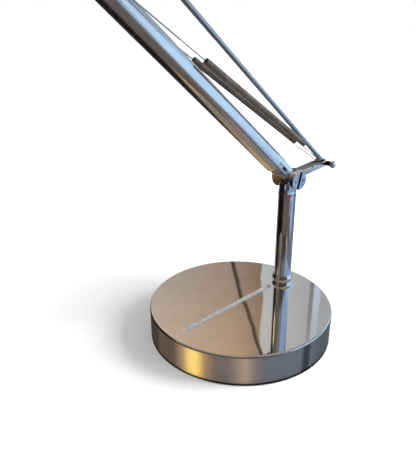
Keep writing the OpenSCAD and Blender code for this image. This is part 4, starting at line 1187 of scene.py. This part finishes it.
ROOM_MIDDLE = UP * 0.1
ROOM_FOOT, ROOM_RISE, ROOM_ROWS = -5, 95, 36
ROOM_STEPS = 180
heights = [ROOM_FOOT + ROOM_RISE * i / ROOM_ROWS for i in range(ROOM_ROWS + 1)]
bearings = [-180 + 360 / ROOM_STEPS * k for k in range(ROOM_STEPS + 1)]
strip("card_room",
      [[room_look(bearing, height) * ROOM_R + ROOM_MIDDLE for bearing in bearings]
       for height in heights],
      [[room_tone(bearing, height) for bearing in bearings] for height in heights])

# Floor: white in the open for the camera and in mirrors; it keeps the shadow, and its glow is weaker round a point
# beside the base, which paints shade there

PALE = (0.86, 0.86, 0.86, 1)
WHITE = (1, 1, 1, 1)
FLOOR_HALF = 6
# The glow is weakest round a point shifted from the base to the side where its shadow falls, which paints shade on
# the floor there
SHADOW_SHIFT = ACROSS * 0.07 - AHEAD * 0.03
SHADOW_INNER, SHADOW_OUTER = 0.08, 0.45
SHADOW_GLOW = 0.14


def looked_at(tree):
    """1 for what the camera, a mirror or glass looks at, and 0 for light on a surface."""
    path = tree.nodes.new("ShaderNodeLightPath")
    seen = path.outputs["Is Camera Ray"]
    for ray in ("Is Glossy Ray", "Is Transmission Ray"):
        either = tree.nodes.new("ShaderNodeMath")
        either.operation = "MAXIMUM"
        tree.links.new(seen, either.inputs[0])
        tree.links.new(path.outputs[ray], either.inputs[1])
        seen = either.outputs[0]
    return seen


m = Nodes("floor")
pale = m.add("ShaderNodeBsdfDiffuse", Color=PALE)
glow = m.add("ShaderNodeEmission", Color=WHITE)
place = m.add("ShaderNodeTexCoord")
shift = m.add("ShaderNodeMapping", Location=SHADOW_SHIFT)
m.link(place.outputs["Object"], shift.inputs["Vector"])
reach = m.add("ShaderNodeVectorMath", operation="LENGTH")
m.link(shift.outputs["Vector"], reach.inputs[0])
power = m.add("ShaderNodeMath", operation="MULTIPLY")
m.link(looked_at(m.tree), power.inputs[0])
m.link(m.spread(reach.outputs["Value"], SHADOW_GLOW, 1.0, SHADOW_INNER, SHADOW_OUTER),
       power.inputs[1])
m.link(power.outputs[0], glow.inputs["Strength"])
both = m.add("ShaderNodeAddShader")
m.link(pale.outputs["BSDF"], both.inputs[0])
m.link(glow.outputs["Emission"], both.inputs[1])
m.link(both.outputs[0], m.out.inputs["Surface"])
corners = [(x * FLOOR_HALF, y * FLOOR_HALF, 0) for x, y in ((-1, -1), (1, -1), (1, 1), (-1, 1))]
mesh = bpy.data.meshes.new("floor")
mesh.from_pydata(corners, [], [(0, 1, 2, 3)])
mesh.materials.append(m.mat)
floor = bpy.data.objects.new("floor", mesh)
scene.collection.objects.link(floor)

# World: white where the camera and the metal look, and half as bright as a light

WORLD_LIGHT = 0.5

world = bpy.data.worlds.new("studio")
scene.world = world
world.use_nodes = True
tree = world.node_tree
tree.nodes.clear()
mixer = tree.nodes.new("ShaderNodeMixShader")
tree.links.new(looked_at(tree), mixer.inputs[0])
for socket, strength in ((1, WORLD_LIGHT), (2, 1.0)):
    back = tree.nodes.new("ShaderNodeBackground")
    back.inputs["Color"].default_value = WHITE
    back.inputs["Strength"].default_value = strength
    tree.links.new(back.outputs[0], mixer.inputs[socket])
out = tree.nodes.new("ShaderNodeOutputWorld")
tree.links.new(mixer.outputs[0], out.inputs[0])

# One soft light from the right, which casts the shadow to the left

KEY_AT = ACROSS * 1.45 - AHEAD * 0.1 + UP * 1.1
KEY_TARGET = Vector((0, 0, 0.05))
KEY_POWER = 32
KEY_SIZE = 0.8
key_data = bpy.data.lights.new("key", "AREA")
key_data.energy = KEY_POWER
key_data.size = KEY_SIZE
key = bpy.data.objects.new("key", key_data)
scene.collection.objects.link(key)
key.location = KEY_AT
key.rotation_euler = (KEY_TARGET - KEY_AT).to_track_quat("-Z", "Y").to_euler()
key.visible_glossy = False
